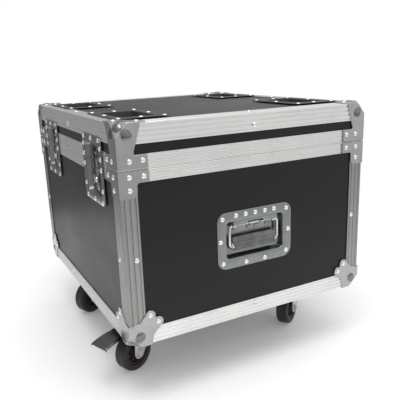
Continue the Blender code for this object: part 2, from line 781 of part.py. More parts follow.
def build_fork():
    """The swivel fork with its axle bolt. It trails along +X, with the wheel between its two legs."""
    axle = (TRAIL, -CASTOR_HEIGHT + WHEEL_RADIUS)
    leg = [(-0.019, -0.0135), (-0.019, -0.024)]
    leg += arc(axle, 0.0115, 205, 365, 4)
    leg += [(0.034, -0.024), (0.034, -0.0135)]
    crown = -0.0135
    outer = FORK_INNER + FORK_SHEET
    pieces = []
    for low in (-outer, FORK_INNER):
        side = plate([leg, circle(PEDAL_PIVOT, PEDAL_PIN + 0.0005, 8)], low, low + FORK_SHEET)
        side.data.transform(Matrix.Rotation(math.radians(90), 4, "X"))
        pieces.append(side)
    bridge = box((-0.019, -outer, crown - FORK_SHEET), (0.034, outer, crown + 0.0002))
    cap = [(0.021, -0.0093), (0.0235, -0.0115), (0.022, -0.0150), (0.0, -0.0150), (0.0, -0.0093)]
    race = turned(cap, steps=16)
    reach = outer + 0.006
    bolt = cylinder((axle[0], -reach, axle[1]), (axle[0], reach, axle[1]), AXLE_RADIUS, sides=12)
    nuts = []
    for side in (-1, 1):
        start = (axle[0], side * (outer - 0.0005), axle[1])
        nuts.append(cylinder(start, (axle[0], side * (outer + 0.005), axle[1]), 0.0072, sides=6))
    return combine(race, [bridge, *pieces, bolt, *nuts], "UNION")


def build_wheel():
    """A solid tyre on a moulded hub, turned about Y, with its bore round the axle bolt."""
    half, hub = WHEEL_WIDTH / 2, HUB_WIDTH / 2
    bore = AXLE_RADIUS + GAP
    profile = [
        (bore, hub),
        (0.0110, hub),
        (0.0120, half - 0.004),
        (0.0250, half - 0.004),
        (0.0340, half),
        (WHEEL_RADIUS, half - 0.006),
    ]
    lower = [(radius, -height) for radius, height in reversed(profile)]
    return turned(profile + lower, steps=24, axis="Y")


def build_pedal():
    """The brake pedal, with its origin on its pivot pin: two arms, a bridge and a tread plate."""
    px, pz = PEDAL_PIVOT
    inner = FORK_INNER + FORK_SHEET + 0.0010
    outer = inner + 0.0020
    arm = [(-0.006, -0.005), (0.036, -0.004), (0.044, 0.002), (0.040, 0.006), (0.004, 0.006), (-0.006, 0.004)]
    pieces = []
    for low in (-outer, inner):
        side = plate([arm], low, low + 0.0020)
        side.data.transform(Matrix.Rotation(math.radians(90), 4, "X"))
        pieces.append(side)
    pin = cylinder((0, -outer + 0.0002, 0), (0, outer - 0.0002, 0), PEDAL_PIN, sides=8)
    reach = PEDAL_TIP - px
    tread = box((0.030, -PEDAL_WIDTH / 2, 0.0025), (reach, PEDAL_WIDTH / 2, 0.0045))
    tread.data.transform(Matrix.Rotation(math.radians(3), 4, "Y"))
    return combine(pin, [*pieces, tread], "UNION")


def build_castors():
    for name, (sx, sy, azimuth) in CASTORS.items():
        x, y = sx * (HALF_WIDTH - CASTOR_INSET_X), sy * (HALF_DEPTH - CASTOR_INSET_Y)
        swivel_place = Matrix.Translation((x, y, CASTOR_HEIGHT))
        finish_part(build_mount_plate(), f"castor_plate_{name}", "zinc_steel", swivel_place)
        turn = Matrix.Rotation(math.radians(azimuth + 180), 4, "Z")
        swivel = make_empty(f"swivel_axis_{name}", swivel_place @ turn)
        finish_part(build_fork(), f"castor_fork_{name}", "zinc_steel", swivel.matrix_world.copy(), swivel)
        axle = swivel.matrix_world @ Matrix.Translation((TRAIL, 0, WHEEL_RADIUS - CASTOR_HEIGHT))
        finish_part(build_wheel(), f"castor_wheel_{name}", "black_rubber", axle, swivel)
        if name in BRAKED:
            pivot = swivel.matrix_world @ Matrix.Translation((PEDAL_PIVOT[0], 0, PEDAL_PIVOT[1]))
            finish_part(build_pedal(), f"brake_pedal_{name}", "zinc_steel", pivot, swivel)


def main():
    build_wall_panels()
    build_flat_panels()
    build_castor_boards()
    build_edge_frames()
    build_rims()
    build_corner_posts()
    build_ball_corners()
    build_handles()
    build_latches()
    build_stacking_dishes()
    build_hinges()
    build_castors()
    HELPERS.hide_render = True


main()
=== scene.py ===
# %% [markdown]
# # A flight case for moving head lights
# This lesson dresses a working model of a stage case: a black box edged in ribbed aluminium, with ball
# corners, butterfly latches, sprung handles and castors. The model that moves comes first, as a fixed frame.
# Nothing in it is moved here. We could remodel everything, but measuring from the frame keeps each new piece
# exactly where the working part is, so it also opens, turns and rolls as that part does.

# %% Load the frame
import json
import math

import bmesh
import bpy
from mathutils import Matrix, Vector


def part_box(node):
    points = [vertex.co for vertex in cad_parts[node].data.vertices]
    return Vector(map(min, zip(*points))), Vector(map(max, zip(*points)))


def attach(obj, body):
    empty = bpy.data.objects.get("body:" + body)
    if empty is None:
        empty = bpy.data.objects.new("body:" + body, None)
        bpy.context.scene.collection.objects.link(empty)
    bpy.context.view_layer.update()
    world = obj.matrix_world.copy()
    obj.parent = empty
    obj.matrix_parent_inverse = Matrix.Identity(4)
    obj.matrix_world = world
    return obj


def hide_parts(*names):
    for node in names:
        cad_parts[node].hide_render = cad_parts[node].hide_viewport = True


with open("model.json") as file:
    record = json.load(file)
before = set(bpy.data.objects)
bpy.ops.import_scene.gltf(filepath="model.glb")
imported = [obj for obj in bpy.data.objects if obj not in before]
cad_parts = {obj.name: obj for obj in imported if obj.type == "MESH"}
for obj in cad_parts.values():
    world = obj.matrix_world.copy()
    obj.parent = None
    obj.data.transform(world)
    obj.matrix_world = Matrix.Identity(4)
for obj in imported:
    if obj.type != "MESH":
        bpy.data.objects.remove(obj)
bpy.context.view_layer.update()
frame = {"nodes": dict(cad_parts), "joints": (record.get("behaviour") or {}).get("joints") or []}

# %% [markdown]
# ## Sizes
# Every size of the box is read from the frame's own parts: the bottom edging gives the width, depth and floor
# level, and the two rims give the line where the lid parts from the base. The thicknesses of sheet metal are
# the only new numbers. Reading them once, here, means that a change in the model carries through by itself.

# %% Sizes from the frame
MM = 0.001
foot_low, foot_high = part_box("bottom_edge_frame")
rim_low, rim_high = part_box("base_groove_rim")
brow_low, brow_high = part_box("lid_top_edge_frame")
lid_rim_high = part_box("lid_tongue_rim")[1]
HALF_WIDTH, HALF_DEPTH = foot_high[0], foot_high[1]
FLOOR, FLANGE = foot_low[2], foot_high[2] - foot_low[2]
PARTING = rim_high[2] + 0.15 * MM
LID_TOP, TOP_FLANGE = brow_high[2], brow_high[2] - brow_low[2]
BASE_RIM, LID_RIM = PARTING - rim_low[2], lid_rim_high[2] - PARTING
LID_HEIGHT = LID_TOP - PARTING
SKIN = 1.5 * MM
GAP = 0.3 * MM
SHEET = 1.2 * MM
CORNERS = {"front_left": (-1, -1), "front_right": (1, -1), "back_left": (-1, 1), "back_right": (1, 1)}
ENDS = {"front": -1, "back": 1}
print("parting line at", round(PARTING, 4), "and lid top at", round(LID_TOP, 4))


def middle(node):
    """The centre of a node of the frame."""
    low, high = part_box(node)
    return (Vector(low) + Vector(high)) / 2


# %% [markdown]
# ## Shader sums
# A material here is a formula: streaks plus stains, times a little wear. Node graphs hide such formulas in
# wires, so one small class wraps a socket and lets Python's own operators add the Math nodes. It handles
# numbers only, because a Math node would turn a colour grey. A second class holds one material and has one
# method for every other kind of node: its settings go in first, because some of them change its sockets.

# %% Signals and finishes
class Signal:
    """A number that varies over a surface, as the output of a node."""

    def __init__(self, finish, socket):
        self.finish, self.socket = finish, socket

    def maths(self, operation, first, second):
        return self.finish.node("ShaderNodeMath", {"operation": operation}, {0: first, 1: second})

    def __add__(self, other):
        return self.maths("ADD", self, other)

    def __mul__(self, other):
        return self.maths("MULTIPLY", self, other)

    def __sub__(self, other):
        return self.maths("SUBTRACT", self, other)

    def __rsub__(self, other):
        return self.maths("SUBTRACT", other, self)

    def __pow__(self, other):
        return self.maths("POWER", self, other)

    __radd__, __rmul__ = __add__, __mul__


class Finish:
    """One material, with a Principled shader at its end."""

    def __init__(self, name, **constants):
        self.material = bpy.data.materials.new(name)
        self.material.use_nodes = True
        self.tree = self.material.node_tree
        self.shader = self.tree.nodes["Principled BSDF"]
        for socket, value in constants.items():
            self.shader.inputs[socket.replace("_", " ")].default_value = value

    def node(self, kind, settings=None, inputs=None, output=0):
        made = self.tree.nodes.new(kind)
        for key, value in (settings or {}).items():
            if key == "stops":
                self.set_stops(made.color_ramp.elements, value)
            else:
                setattr(made, key, value)
        for key, value in (inputs or {}).items():
            self.feed(made.inputs[key], value)
        return Signal(self, made.outputs[output])

    def set_stops(self, elements, stops):
        while len(elements) < len(stops):
            elements.new(0.5)
        for element, (place, shade) in zip(elements, stops):
            element.position = place
            element.color = (*shade, 1.0) if isinstance(shade, tuple) else (shade, shade, shade, 1.0)

    def feed(self, socket, value):
        if isinstance(value, Signal):
            self.tree.links.new(value.socket, socket)
        elif isinstance(value, tuple) and len(value) == 3 and socket.type == "RGBA":
            socket.default_value = (*value, 1.0)
        else:
            socket.default_value = value

    def place(self, stretch=(1, 1, 1)):
        """Position on the piece in metres, stretched along each axis."""
        where = self.node("ShaderNodeTexCoord", output="Object")
        return self.node("ShaderNodeVectorMath", {"operation": "MULTIPLY"}, {0: where, 1: stretch})

    def noise(self, scale, detail=3.0, stretch=(1, 1, 1), roughness=0.5):
        inputs = {"Vector": self.place(stretch), "Scale": scale, "Detail": detail, "Roughness": roughness}
        return self.node("ShaderNodeTexNoise", None, inputs)

    def ramp(self, signal, *stops):
        return self.node("ShaderNodeValToRGB", {"stops": stops}, {0: signal})

    def tint(self, share, first, second):
        """A colour between two colours."""
        return self.node("ShaderNodeMix", {"data_type": "RGBA"}, {0: share, 6: first, 7: second}, output=2)

    def wear(self, colour=None, roughness=None, height=None, depth=0.1 * MM, strength=1.0):
        """Feeds what varies into the shader."""
        if colour is not None:
            self.feed(self.shader.inputs["Base Color"], colour)
        if roughness is not None:
            self.feed(self.shader.inputs["Roughness"], roughness)
        if height is not None:
            inputs = {"Height": height, "Strength": strength, "Distance": depth}
            self.feed(self.shader.inputs["Normal"], self.node("ShaderNodeBump", None, inputs))
        return self.material


# %% [markdown]
# ## Laminate
# The panels are plywood faced with a black plastic laminate. It has a fine pebble texture, so highlights
# spread into a soft sheen, and it picks up hand marks and hairline scuffs. A plain dark colour would look
# like a hole in the picture. Two scales of noise are enough: a fine one for the pebble, as relief, and a
# broad one that makes some areas shinier than others.

# %% Black laminate
def make_laminate(name, dark, light, shine):
    finish = Finish(name, Specular_IOR_Level=0.22)
    pebble = finish.noise(950, 2)
    smears = finish.noise(7, 4, (1, 1, 2.2))
    dust = finish.ramp(finish.noise(160, 5), (0.56, 0.0), (0.80, 1.0))
    scuffs = finish.ramp(finish.noise(55, 2, (1, 1, 14)), (0.66, 0.0), (0.74, 1.0))
    colour = finish.tint(smears * 0.5 + dust * 0.25 + scuffs * 0.12, dark, light)
    roughness = shine + (smears - 0.5) * 0.16 + dust * 0.05 + scuffs * 0.08
    return finish.wear(colour, roughness, pebble + scuffs * 0.15, 0.05 * MM, 0.35)


LAMINATE = make_laminate("black_laminate", (0.008, 0.008, 0.009), (0.022, 0.022, 0.023), 0.36)
DISH_PAINT = make_laminate("black_painted_steel", (0.020, 0.020, 0.021), (0.060, 0.060, 0.060), 0.40)
print("made", LAMINATE.name, "and", DISH_PAINT.name)

# %% [markdown]
# ## Aluminium
# The edging is drawn through a die, which leaves hairlines that run along each length and never across it.
# A radial or even noise would look cast. So the noise is stretched a hundredfold along the run, and because
# a case has lengths in three directions, the same recipe makes three materials. The uprights' colour is
# darkened as painted shade, so each direction also has its factor of painted shade. Handling has dulled
# patches of all three.

# %% Drawn aluminium, one for each direction
BARE_METAL, HANDLED_METAL = (0.84, 0.835, 0.825), (0.60, 0.595, 0.585)
# Painted shade: the upright (z) runs have their colour darkened to 0.42 of the others'.
RUNS_WITH_PAINTED_SHADE = (("x", 1.0), ("y", 1.0), ("z", 0.42))


def make_aluminium(name, run, painted_shade_factor):
    finish = Finish(name, Metallic=1.0)
    # The colour is scaled down by the painted shade of this run.
    metals = (BARE_METAL, HANDLED_METAL)
    bare, handled = [tuple(channel * painted_shade_factor for channel in metal) for metal in metals]
    along = tuple(0.012 if i == run else 1.0 for i in range(3))
    hairlines = finish.noise(2600, 3, along, 0.7)
    bands = finish.noise(420, 2, along)
    patches = finish.noise(16, 4)
    knocks = finish.ramp(finish.noise(120, 4), (0.62, 0.0), (0.78, 1.0))
    shade = bands * 0.35 + patches * 0.5 + knocks * 0.25
    colour = finish.tint(shade, bare, handled)
    roughness = 0.26 + hairlines * 0.16 + patches * 0.10 + knocks * 0.08
    return finish.wear(colour, roughness, hairlines + bands * 0.6 - knocks * 0.5, 0.06 * MM, 0.55)


ALUMINIUM = [make_aluminium(f"drawn_aluminium_{axis}", run, level) for run, (axis, level) in enumerate(RUNS_WITH_PAINTED_SHADE)]
print("made", [material.name for material in ALUMINIUM])

# %% [markdown]
# ## Plated steel
# Handles, latches and corners are pressed steel with a thin plating. Zinc dries to a grey with a faint
# cloudiness, and a barrelled nickel finish is brighter. All are worn the same way: clouds in the colour,
# finer clouds in the gloss and a very shallow ripple from the press, so that edges do not look computed.
# The balls are polished hardest, with almost no roughness; their base is painted dark and bluish, a painted
# reflection of the dim room that real reflections stand out on.

# %% Zinc and nickel
def make_plating(name, bright, dull, gloss, ripple=0.25):
    finish = Finish(name, Metallic=1.0)
    clouds = finish.noise(60, 5, roughness=0.6)
    grain = finish.noise(700, 3)
    scratches = finish.ramp(finish.noise(240, 2, (1, 9, 1)), (0.60, 0.0), (0.70, 1.0))
    colour = finish.tint(clouds * 0.8 + scratches * 0.15, bright, dull)
    roughness = gloss + clouds * 0.16 + grain * 0.06 + scratches * 0.07
    return finish.wear(colour, roughness, grain * 0.4 + clouds * 1.4, 0.12 * MM, ripple)


ZINC = make_plating("zinc_plate", (0.29, 0.30, 0.30), (0.17, 0.18, 0.18), 0.20)
NICKEL = make_plating("nickel_plate", (0.46, 0.46, 0.455), (0.30, 0.30, 0.295), 0.10)
# Painted reflection: the ball's base colour is dark and bluish to stand in for the dim room that it reflects.
POLISHED_PAINTED_DARK = make_plating("polished_nickel_painted_dark", (0.22, 0.225, 0.24), (0.15, 0.155, 0.165), 0.02, 0.08)
# Painted light: the forks' zinc is coloured much brighter than the plates' zinc, to lift them out of the
# shadow that falls on them under the case.
FORK_STEEL_PAINTED_LIGHT = make_plating("zinc_painted_light", (0.72, 0.71, 0.69), (0.52, 0.51, 0.50), 0.24)
PEDAL_STEEL = make_plating("dark_zinc", (0.17, 0.175, 0.18), (0.10, 0.105, 0.11), 0.22)
RIVET_METAL = make_plating("rivet_plate", (0.90, 0.90, 0.89), (0.70, 0.70, 0.70), 0.12)
SPRING_STEEL = make_plating("spring_wire", (0.70, 0.70, 0.69), (0.48, 0.48, 0.48), 0.15)
PLATED = (ZINC, NICKEL, POLISHED_PAINTED_DARK, FORK_STEEL_PAINTED_LIGHT, PEDAL_STEEL, RIVET_METAL, SPRING_STEEL)
print("made", [material.name for material in PLATED])

# %% [markdown]
# ## Rubber, plastic and foam
# Rubber is dark, matt and dusty where it rolls. The moulded hub is a brown-black plastic with a little
# gloss. Foam is the one soft finish: it scatters light in its cells, so it gets the roughest surface and a
# deep, cellular relief. The same function makes all three from a colour pair, a roughness and a grain size.

# %% Soft and moulded finishes
def make_moulded(name, dark, dusty, dullness, grain, depth):
    finish = Finish(name, Specular_IOR_Level=0.35)
    pores = finish.noise(grain, 4, roughness=0.6)
    dirt = finish.ramp(finish.noise(45, 5), (0.42, 0.0), (0.75, 1.0))
    colour = finish.tint(dirt * 0.7 + pores * 0.3, dark, dusty)
    return finish.wear(colour, dullness + dirt * 0.12, pores, depth, 0.6)


TYRE_RUBBER = make_moulded("tyre_rubber", (0.016, 0.016, 0.018), (0.040, 0.039, 0.040), 0.48, 900, 0.08 * MM)
HUB_PLASTIC = make_moulded("hub_plastic", (0.022, 0.014, 0.012), (0.050, 0.038, 0.034), 0.38, 500, 0.04 * MM)
GRIP_RUBBER = make_moulded("grip_rubber", (0.085, 0.087, 0.090), (0.20, 0.20, 0.20), 0.34, 700, 0.05 * MM)
FOAM = make_moulded("dark_foam", (0.028, 0.028, 0.031), (0.070, 0.070, 0.074), 0.86, 1100, 0.7 * MM)
print("made", [material.name for material in (TYRE_RUBBER, HUB_PLASTIC, GRIP_RUBBER, FOAM)])

# %% [markdown]
# ## Dressing the panels
# The flat panels, the boards under them and the hinges already have the right shape, so they only receive a
# finish. It goes into the slot that each part came with, and the part's mesh is untouched. Three panels reach
# the box's sharp corners, and are trimmed together with the edging further on.

# %% Finishes on the frame's own parts
def dress(finish, *words):
    """Gives the finish to every node of the frame whose name has one of the words."""
    dressed = [name for name in frame["nodes"] if any(word in name for word in words)]
    for name in dressed:
        for material_slot in frame["nodes"][name].material_slots:
            material_slot.material = finish
    return len(dressed)


print(dress(LAMINATE, "panel", "wall_strips", "board"), "boards and panels in laminate")
print(dress(ZINC, "hinge"), "hinge leaves in zinc")

# %% [markdown]
# ## Working on a face
# Almost every fitting is screwed or riveted to one face of the box. So each is drawn flat, with X to the
# right, Y up and Z out of the face, and a matrix then carries it to its face. This is how a drawing board
# works, and it lets the front handle and the back handle share one drawing.

# %% Face frames
def face_frame(face, along=0.0, height=0.0):
    right, up, out, origin = {
        "front": ((1, 0, 0), (0, 0, 1), (0, -1, 0), (0, -HALF_DEPTH, 0)),
        "back": ((-1, 0, 0), (0, 0, 1), (0, 1, 0), (0, HALF_DEPTH, 0)),
        "left": ((0, -1, 0), (0, 0, 1), (-1, 0, 0), (-HALF_WIDTH, 0, 0)),
        "right": ((0, 1, 0), (0, 0, 1), (1, 0, 0), (HALF_WIDTH, 0, 0)),
        "top": ((1, 0, 0), (0, 1, 0), (0, 0, 1), (0, 0, LID_TOP)),
    }[face]
    place = Vector(origin) + Vector(right) * along + Vector(up) * height
    return Matrix.Translation(place) @ Matrix((right, up, out)).transposed().to_4x4()


def shift(x=0.0, y=0.0, z=0.0):
    return Matrix.Translation((x, y, z))


def spin(degrees, axis):
    return Matrix.Rotation(math.radians(degrees), 4, axis)


# %% [markdown]
# ## Turning a drawing into a piece
# A piece is one object that rides on a moving body of the frame. The helper below does the bookkeeping that
# each needs: link it, smooth it up to a crease angle, give it its finish, and say which body carries it and
# which plain parts it stands for. Doing this in one place makes it hard to forget a step.

# %% Making a piece
def smooth_mesh(mesh, crease=35):
    mesh.shade_smooth()
    mesh.set_sharp_from_angle(angle=math.radians(crease))


def make_piece(name, mesh, finish, body, place=None, stands_for=(), crease=35):
    finishes = finish if isinstance(finish, list) else [finish]
    if not mesh.materials:
        for material in finishes:
            mesh.materials.append(material)
    smooth_mesh(mesh, crease)
    piece = bpy.data.objects.new(name, mesh)
    bpy.context.scene.collection.objects.link(piece)
    if place is not None:
        piece.matrix_world = place
    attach(piece, body)
    if stands_for:
        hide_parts(*stands_for)
    return piece


def mesh_of(bm, name="working"):
    bmesh.ops.recalc_face_normals(bm, faces=bm.faces)
    mesh = bpy.data.meshes.new(name)
    bm.to_mesh(mesh)
    bm.free()
    return mesh


def evaluated(obj, weld=1e-6):
    """The mesh that an object's modifiers or curve settings make, welded. The object is removed."""
    bpy.context.view_layer.update()
    graph = bpy.context.evaluated_depsgraph_get()
    mesh = bpy.data.meshes.new_from_object(obj.evaluated_get(graph))
    bpy.data.objects.remove(obj, do_unlink=True)
    bm = bmesh.new()
    bm.from_mesh(mesh)
    bmesh.ops.remove_doubles(bm, verts=bm.verts, dist=weld)
    return mesh_of(bm)


def temporary(data):
    made = bpy.data.objects.new("working", data)
    bpy.context.scene.collection.objects.link(made)
    return made


def modified(mesh, *steps):
    """The mesh after a list of (kind of modifier, settings) steps."""
    work = temporary(mesh)
    for kind, settings in steps:
        modifier = work.modifiers.new(kind.lower(), kind)
        for key, value in settings.items():
            setattr(modifier, key, value)
    return evaluated(work)


def joined(*meshes):
    """One mesh from several (mesh, matrix) pairs or plain meshes, each left as its own shell."""
    bm = bmesh.new()
    for item in meshes:
        mesh, place = item if isinstance(item, tuple) else (item, Matrix.Identity(4))
        part = bmesh.new()
        part.from_mesh(mesh)
        part.transform(place)
        if place.determinant() < 0:
            bmesh.ops.reverse_faces(part, faces=part.faces)
        copied = bpy.data.meshes.new("copied")
        part.to_mesh(copied)
        part.free()
        bm.from_mesh(copied)
        bpy.data.meshes.remove(copied)
    whole = bpy.data.meshes.new("joined")
    bm.to_mesh(whole)
    bm.free()
    return whole


# %% [markdown]
# ## Outlines and plates
# Sheet metal is cut as an outline and its edges are tumbled round. A flat curve gives exactly that: Blender
# fills its outline, extrudes it, and its bevel rounds the cut edge. Drawing with arcs keeps the outline to
# the few numbers a toolmaker would use. A bevel modifier on a mesh works too, but needs a clean mesh first.

# %% Flat work
def mm(*points):
    """Points drawn in millimetres, in the scene's metres."""
    return [tuple(value * MM for value in point) for point in points]


def arc(centre, radius, start, end, steps):
    angles = [math.radians(start + (end - start) * i / steps) for i in range(steps + 1)]
    return [(centre[0] + radius * math.cos(a), centre[1] + radius * math.sin(a)) for a in angles]


def rounded_rectangle(width, height, radius, centre=(0.0, 0.0), steps=8):
    points = []
    for quarter, (sx, sy) in enumerate(((1, 1), (-1, 1), (-1, -1), (1, -1))):
        middle_of_arc = (centre[0] + sx * (width / 2 - radius), centre[1] + sy * (height / 2 - radius))
        points += arc(middle_of_arc, radius, 90 * quarter, 90 * quarter + 90, steps)
    return points


def circle(centre, radius, sides=24):
    return arc(centre, radius, 0, 360, sides)[:-1]


def plate(outlines, low, high, edge=0.3 * MM):
    """A flat plate with rounded edges, from an outline and any holes in it."""
    curve = bpy.data.curves.new("plate", "CURVE")
    curve.dimensions = "2D"
    curve.fill_mode = "BOTH"
    curve.extrude = (high - low) / 2 - edge
    curve.bevel_depth = edge
    curve.bevel_resolution = 1
    curve.offset = -edge
    for outline in outlines:
        spline = curve.splines.new("POLY")
        spline.points.add(len(outline) - 1)
        for point, (x, y) in zip(spline.points, outline):
            point.co = (x, y, 0.0, 1.0)
        spline.use_cyclic_u = True
    mesh = evaluated(temporary(curve), 1e-5)
    mesh.transform(shift(z=(high + low) / 2))
    return mesh


def block(low, high, edge=0.4):
    """A box with rounded edges, from two corners in millimetres."""
    bm = bmesh.new()
    low, high = (Vector(corner) for corner in mm(low, high))
    centre, size = (low + high) / 2, high - low
    bmesh.ops.create_cube(bm, size=1.0, matrix=Matrix.Translation(centre) @ Matrix.Diagonal((*size, 1)))
    bmesh.ops.bevel(bm, geom=bm.edges[:], offset=edge * MM, segments=2, profile=0.5, affect="EDGES")
    return mesh_of(bm)


def turned(profile, steps=48):
    """A turned solid about Z. The profile is (radius, height) points from the top down."""
    bm = bmesh.new()
    points = [bm.verts.new((radius, 0.0, height)) for radius, height in profile]
    for a, b in zip(points, points[1:]):
        bm.edges.new((a, b))
    everything = bm.verts[:] + bm.edges[:]
    bmesh.ops.spin(bm, geom=everything, axis=(0, 0, 1), cent=(0, 0, 0), steps=steps, angle=math.tau)
    bmesh.ops.remove_doubles(bm, verts=bm.verts, dist=1e-6)
    return mesh_of(bm)


def collar(outer, inner, low, high, steps):
    """A turned ring with a square section, in millimetres."""
    return turned(mm((outer, high), (outer, low), (inner, low), (inner, high), (outer, high)), steps)


def both_sides(side):
    """A closed profile whose lower half mirrors its upper half."""
    profile = side + [(radius, -height) for radius, height in reversed(side)]
    return profile + [profile[0]]


def wire(points, radius, closed=False, sides=3):
    """A round bar along a list of points."""
    curve = bpy.data.curves.new("wire", "CURVE")
    curve.dimensions = "3D"
    curve.bevel_depth = radius
    curve.bevel_resolution = sides
    curve.use_fill_caps = True
    spline = curve.splines.new("POLY")
    spline.points.add(len(points) - 1)
    for point, place in zip(spline.points, points):
        point.co = (*place, 1.0)
    spline.use_cyclic_u = closed
    return evaluated(temporary(curve))


def walls(bm, rings):
    """Four-sided faces between each ring of vertices and the next, as one list for each pair of rings."""
    made = []
    for here, there in zip(rings, rings[1:]):
        count = len(here)
        pairs = [(i, (i + 1) % count) for i in range(count)]
        made.append([bm.faces.new((here[i], here[j], there[j], there[i])) for i, j in pairs])
    return made


def capped_walls(bm, rings):
    """The same, closed at both ends."""
    walls(bm, rings)
    for ring in (rings[0], rings[-1]):
        bm.faces.new(ring)


# %% [markdown]
# ## Rivets
# More than a hundred tubular rivets hold the case together. Each is a bright dome with a small dark dimple
# where the tool pulled it. One is turned from a profile, and each group is a single object made of copies.
# Separate objects would be more than a hundred names to keep track of, and a painted dot would lose the
# highlight that makes each one read as metal.

# %% Rivets
RIVET_RADIUS, RIVET_HEIGHT = 4.3 * MM, 1.7 * MM


def rivet_profile(radius, height):
    dimple = 0.36 * radius
    angles = [math.radians(degrees) for degrees in range(15, 70, 11)]
    dome = [(radius * math.cos(a), height * math.sin(a)) for a in angles]
    rim = [(radius, -0.2 * MM), (radius, 0.1 * height)]
    inside = [(dimple, 0.94 * height), (0.8 * dimple, 0.45 * height), (0.0, 0.35 * height)]
    return list(reversed(rim + dome + inside))


RIVET = turned(rivet_profile(RIVET_RADIUS, RIVET_HEIGHT), 20)


def at(frame_of_face, *places):
    """The frame moved to each (x, y, z) place."""
    return [frame_of_face @ shift(*place) for place in places]


def spots(pairs, level):
    """Places at one height above the face, from pairs in millimetres."""
    return [(x * MM, y * MM, level) for x, y in pairs]


def rivets(name, body, places):
    """A group of rivets, each standing on the Z of its own frame."""
    mesh = joined(*[(RIVET, place) for place in places])
    return make_piece(name, mesh, RIVET_METAL, body, crease=60)


print("one rivet has", len(RIVET.polygons), "faces")

# %% [markdown]
# ## Edging
# The box is bound in aluminium angle. A length of it has one section from end to end, so the honest way to
# model it is to draw the section once and carry it round the box, mitred at the corners. The outer faces
# carry the shallow grooves that the die leaves. They are real grooves here, because at a low angle a bump
# would flatten out. The section also has the inner leg and shelf that grip the panels.

# %% Grooved sections
def grooved(start, end, grooves, depth=1.1 * MM, width=3.0 * MM):
    """Points from start to end with grooves cut to the left of that direction."""
    start, end = Vector(start), Vector(end)
    run = (end - start).normalized()
    side = Vector((-run.y, run.x))
    pitch = (end - start).length / grooves
    points = [tuple(start)]
    for i in range(grooves):
        centre = start + run * pitch * (i + 0.5)
        for step, sink in ((-0.5, 0), (-0.25, 1), (0.25, 1), (0.5, 0)):
            points.append(tuple(centre + run * width * step + side * depth * sink))
    return points + [tuple(end)]


def angle_section(flange_in, flange_up, grooves_in, grooves_up):
    """Outer angle, inner leg and shelf, as (inset, height) points from the outer corner."""
    inner, slot, shelf, leg = 12.3 * MM, 11.1 * MM, 22 * MM, 20 * MM
    bend = 1.0 * MM
    outline = [(bend, 0), *grooved((2 * bend, 0), (flange_in, 0), grooves_in)][1:]
    outline += [(flange_in, SKIN), (inner, SKIN), (inner, slot), (shelf, slot), (shelf, inner)]
    outline += [(inner, inner), (inner, leg), (slot, leg), (slot, SKIN), (SKIN, SKIN), (SKIN, flange_up)]
    outline += grooved((0, flange_up), (0, 2 * bend), grooves_up)
    outline += [(0.3 * bend, 0.9 * bend), (0.9 * bend, 0.3 * bend)]
    return outline


print("the edging's section has", len(angle_section(FLANGE, FLANGE, 4, 4)), "points")

# %% [markdown]
# ## Carrying a section round the box
# The four runs differ only in direction, and the drawn hairlines must follow each. So the sweep gives every
# face the number of its direction, and that number picks one of the three aluminium materials. Where three
# edges meet, the metal is cut away under the ball corner, as the maker does with a saw. The panels' points
# would come through the rounded corner too, so copies with the same cut replace the three that reach it.

# %% Sweeping frames
CORNER_CUT = 20 * MM


def mitred_frame(section):
    """The section, in (inset, absolute height) points, carried round the four sides."""
    bm = bmesh.new()
    rings = []
    for sx, sy in ((-1, -1), (1, -1), (1, 1), (-1, 1)):
        places = [(sx * (HALF_WIDTH - inset), sy * (HALF_DEPTH - inset), height) for inset, height in section]
        rings.append([bm.verts.new(place) for place in places])
    for side, faces in enumerate(walls(bm, rings + rings[:1])):
        for face in faces:
            face.material_index = side % 2
    return bm


def saw_corners(bm, level, up):
    """Cuts the four sharp corners off at a level, where the ball corners sit."""
    for sx, sy in CORNERS.values():
        out = Vector((sx, sy, -up)).normalized()
        corner = Vector((sx * HALF_WIDTH, sy * HALF_DEPTH, level))
        cut = corner - out * (CORNER_CUT / math.sqrt(3))
        everything = bm.verts[:] + bm.edges[:] + bm.faces[:]
        split = bmesh.ops.bisect_plane(bm, geom=everything, plane_co=cut, plane_no=out, clear_outer=True)
        edges = [item for item in split["geom_cut"] if isinstance(item, bmesh.types.BMEdge)]
        bmesh.ops.edgeloop_fill(bm, edges=edges)


def edge_frame(name, level, up, flange, body, node):
    section = [(inset, level + up * height) for inset, height in angle_section(FLANGE, flange, 4, 4)]
    bm = mitred_frame(section)
    saw_corners(bm, level, up)
    make_piece(name, mesh_of(bm), ALUMINIUM[:2], body, stands_for=[node], crease=25)


edge_frame("bottom_edging", FLOOR, 1, FLANGE, "case_base", "bottom_edge_frame")
edge_frame("lid_top_edging", LID_TOP, -1, TOP_FLANGE, "lid", "lid_top_edge_frame")


def clipped_copy(name, node, level, up, body):
    """A frame part again, with its corners sawn off where the ball corners sit."""
    part = frame["nodes"][node]
    bm = bmesh.new()
    bm.from_mesh(part.data)
    bm.transform(part.matrix_world)
    saw_corners(bm, level, up)
    make_piece(name, mesh_of(bm), LAMINATE, body, stands_for=[node])


clipped_copy("lid_wall_skins", "lid_wall_strips", LID_TOP, -1, "lid")
for side in ("left", "right"):
    clipped_copy(f"{side}_panel_skin", f"{side}_panel", FLOOR, 1, "case_base")
print("swept the bottom and lid edgings, and trimmed the panels under them")

# %% [markdown]
# ## Corner posts
# The upright edges use the same angle, standing. A flat curve of the section, extruded upwards, would do,
# but its fill would have to cope with the grooves, so the walls are built point by point like the frames'.

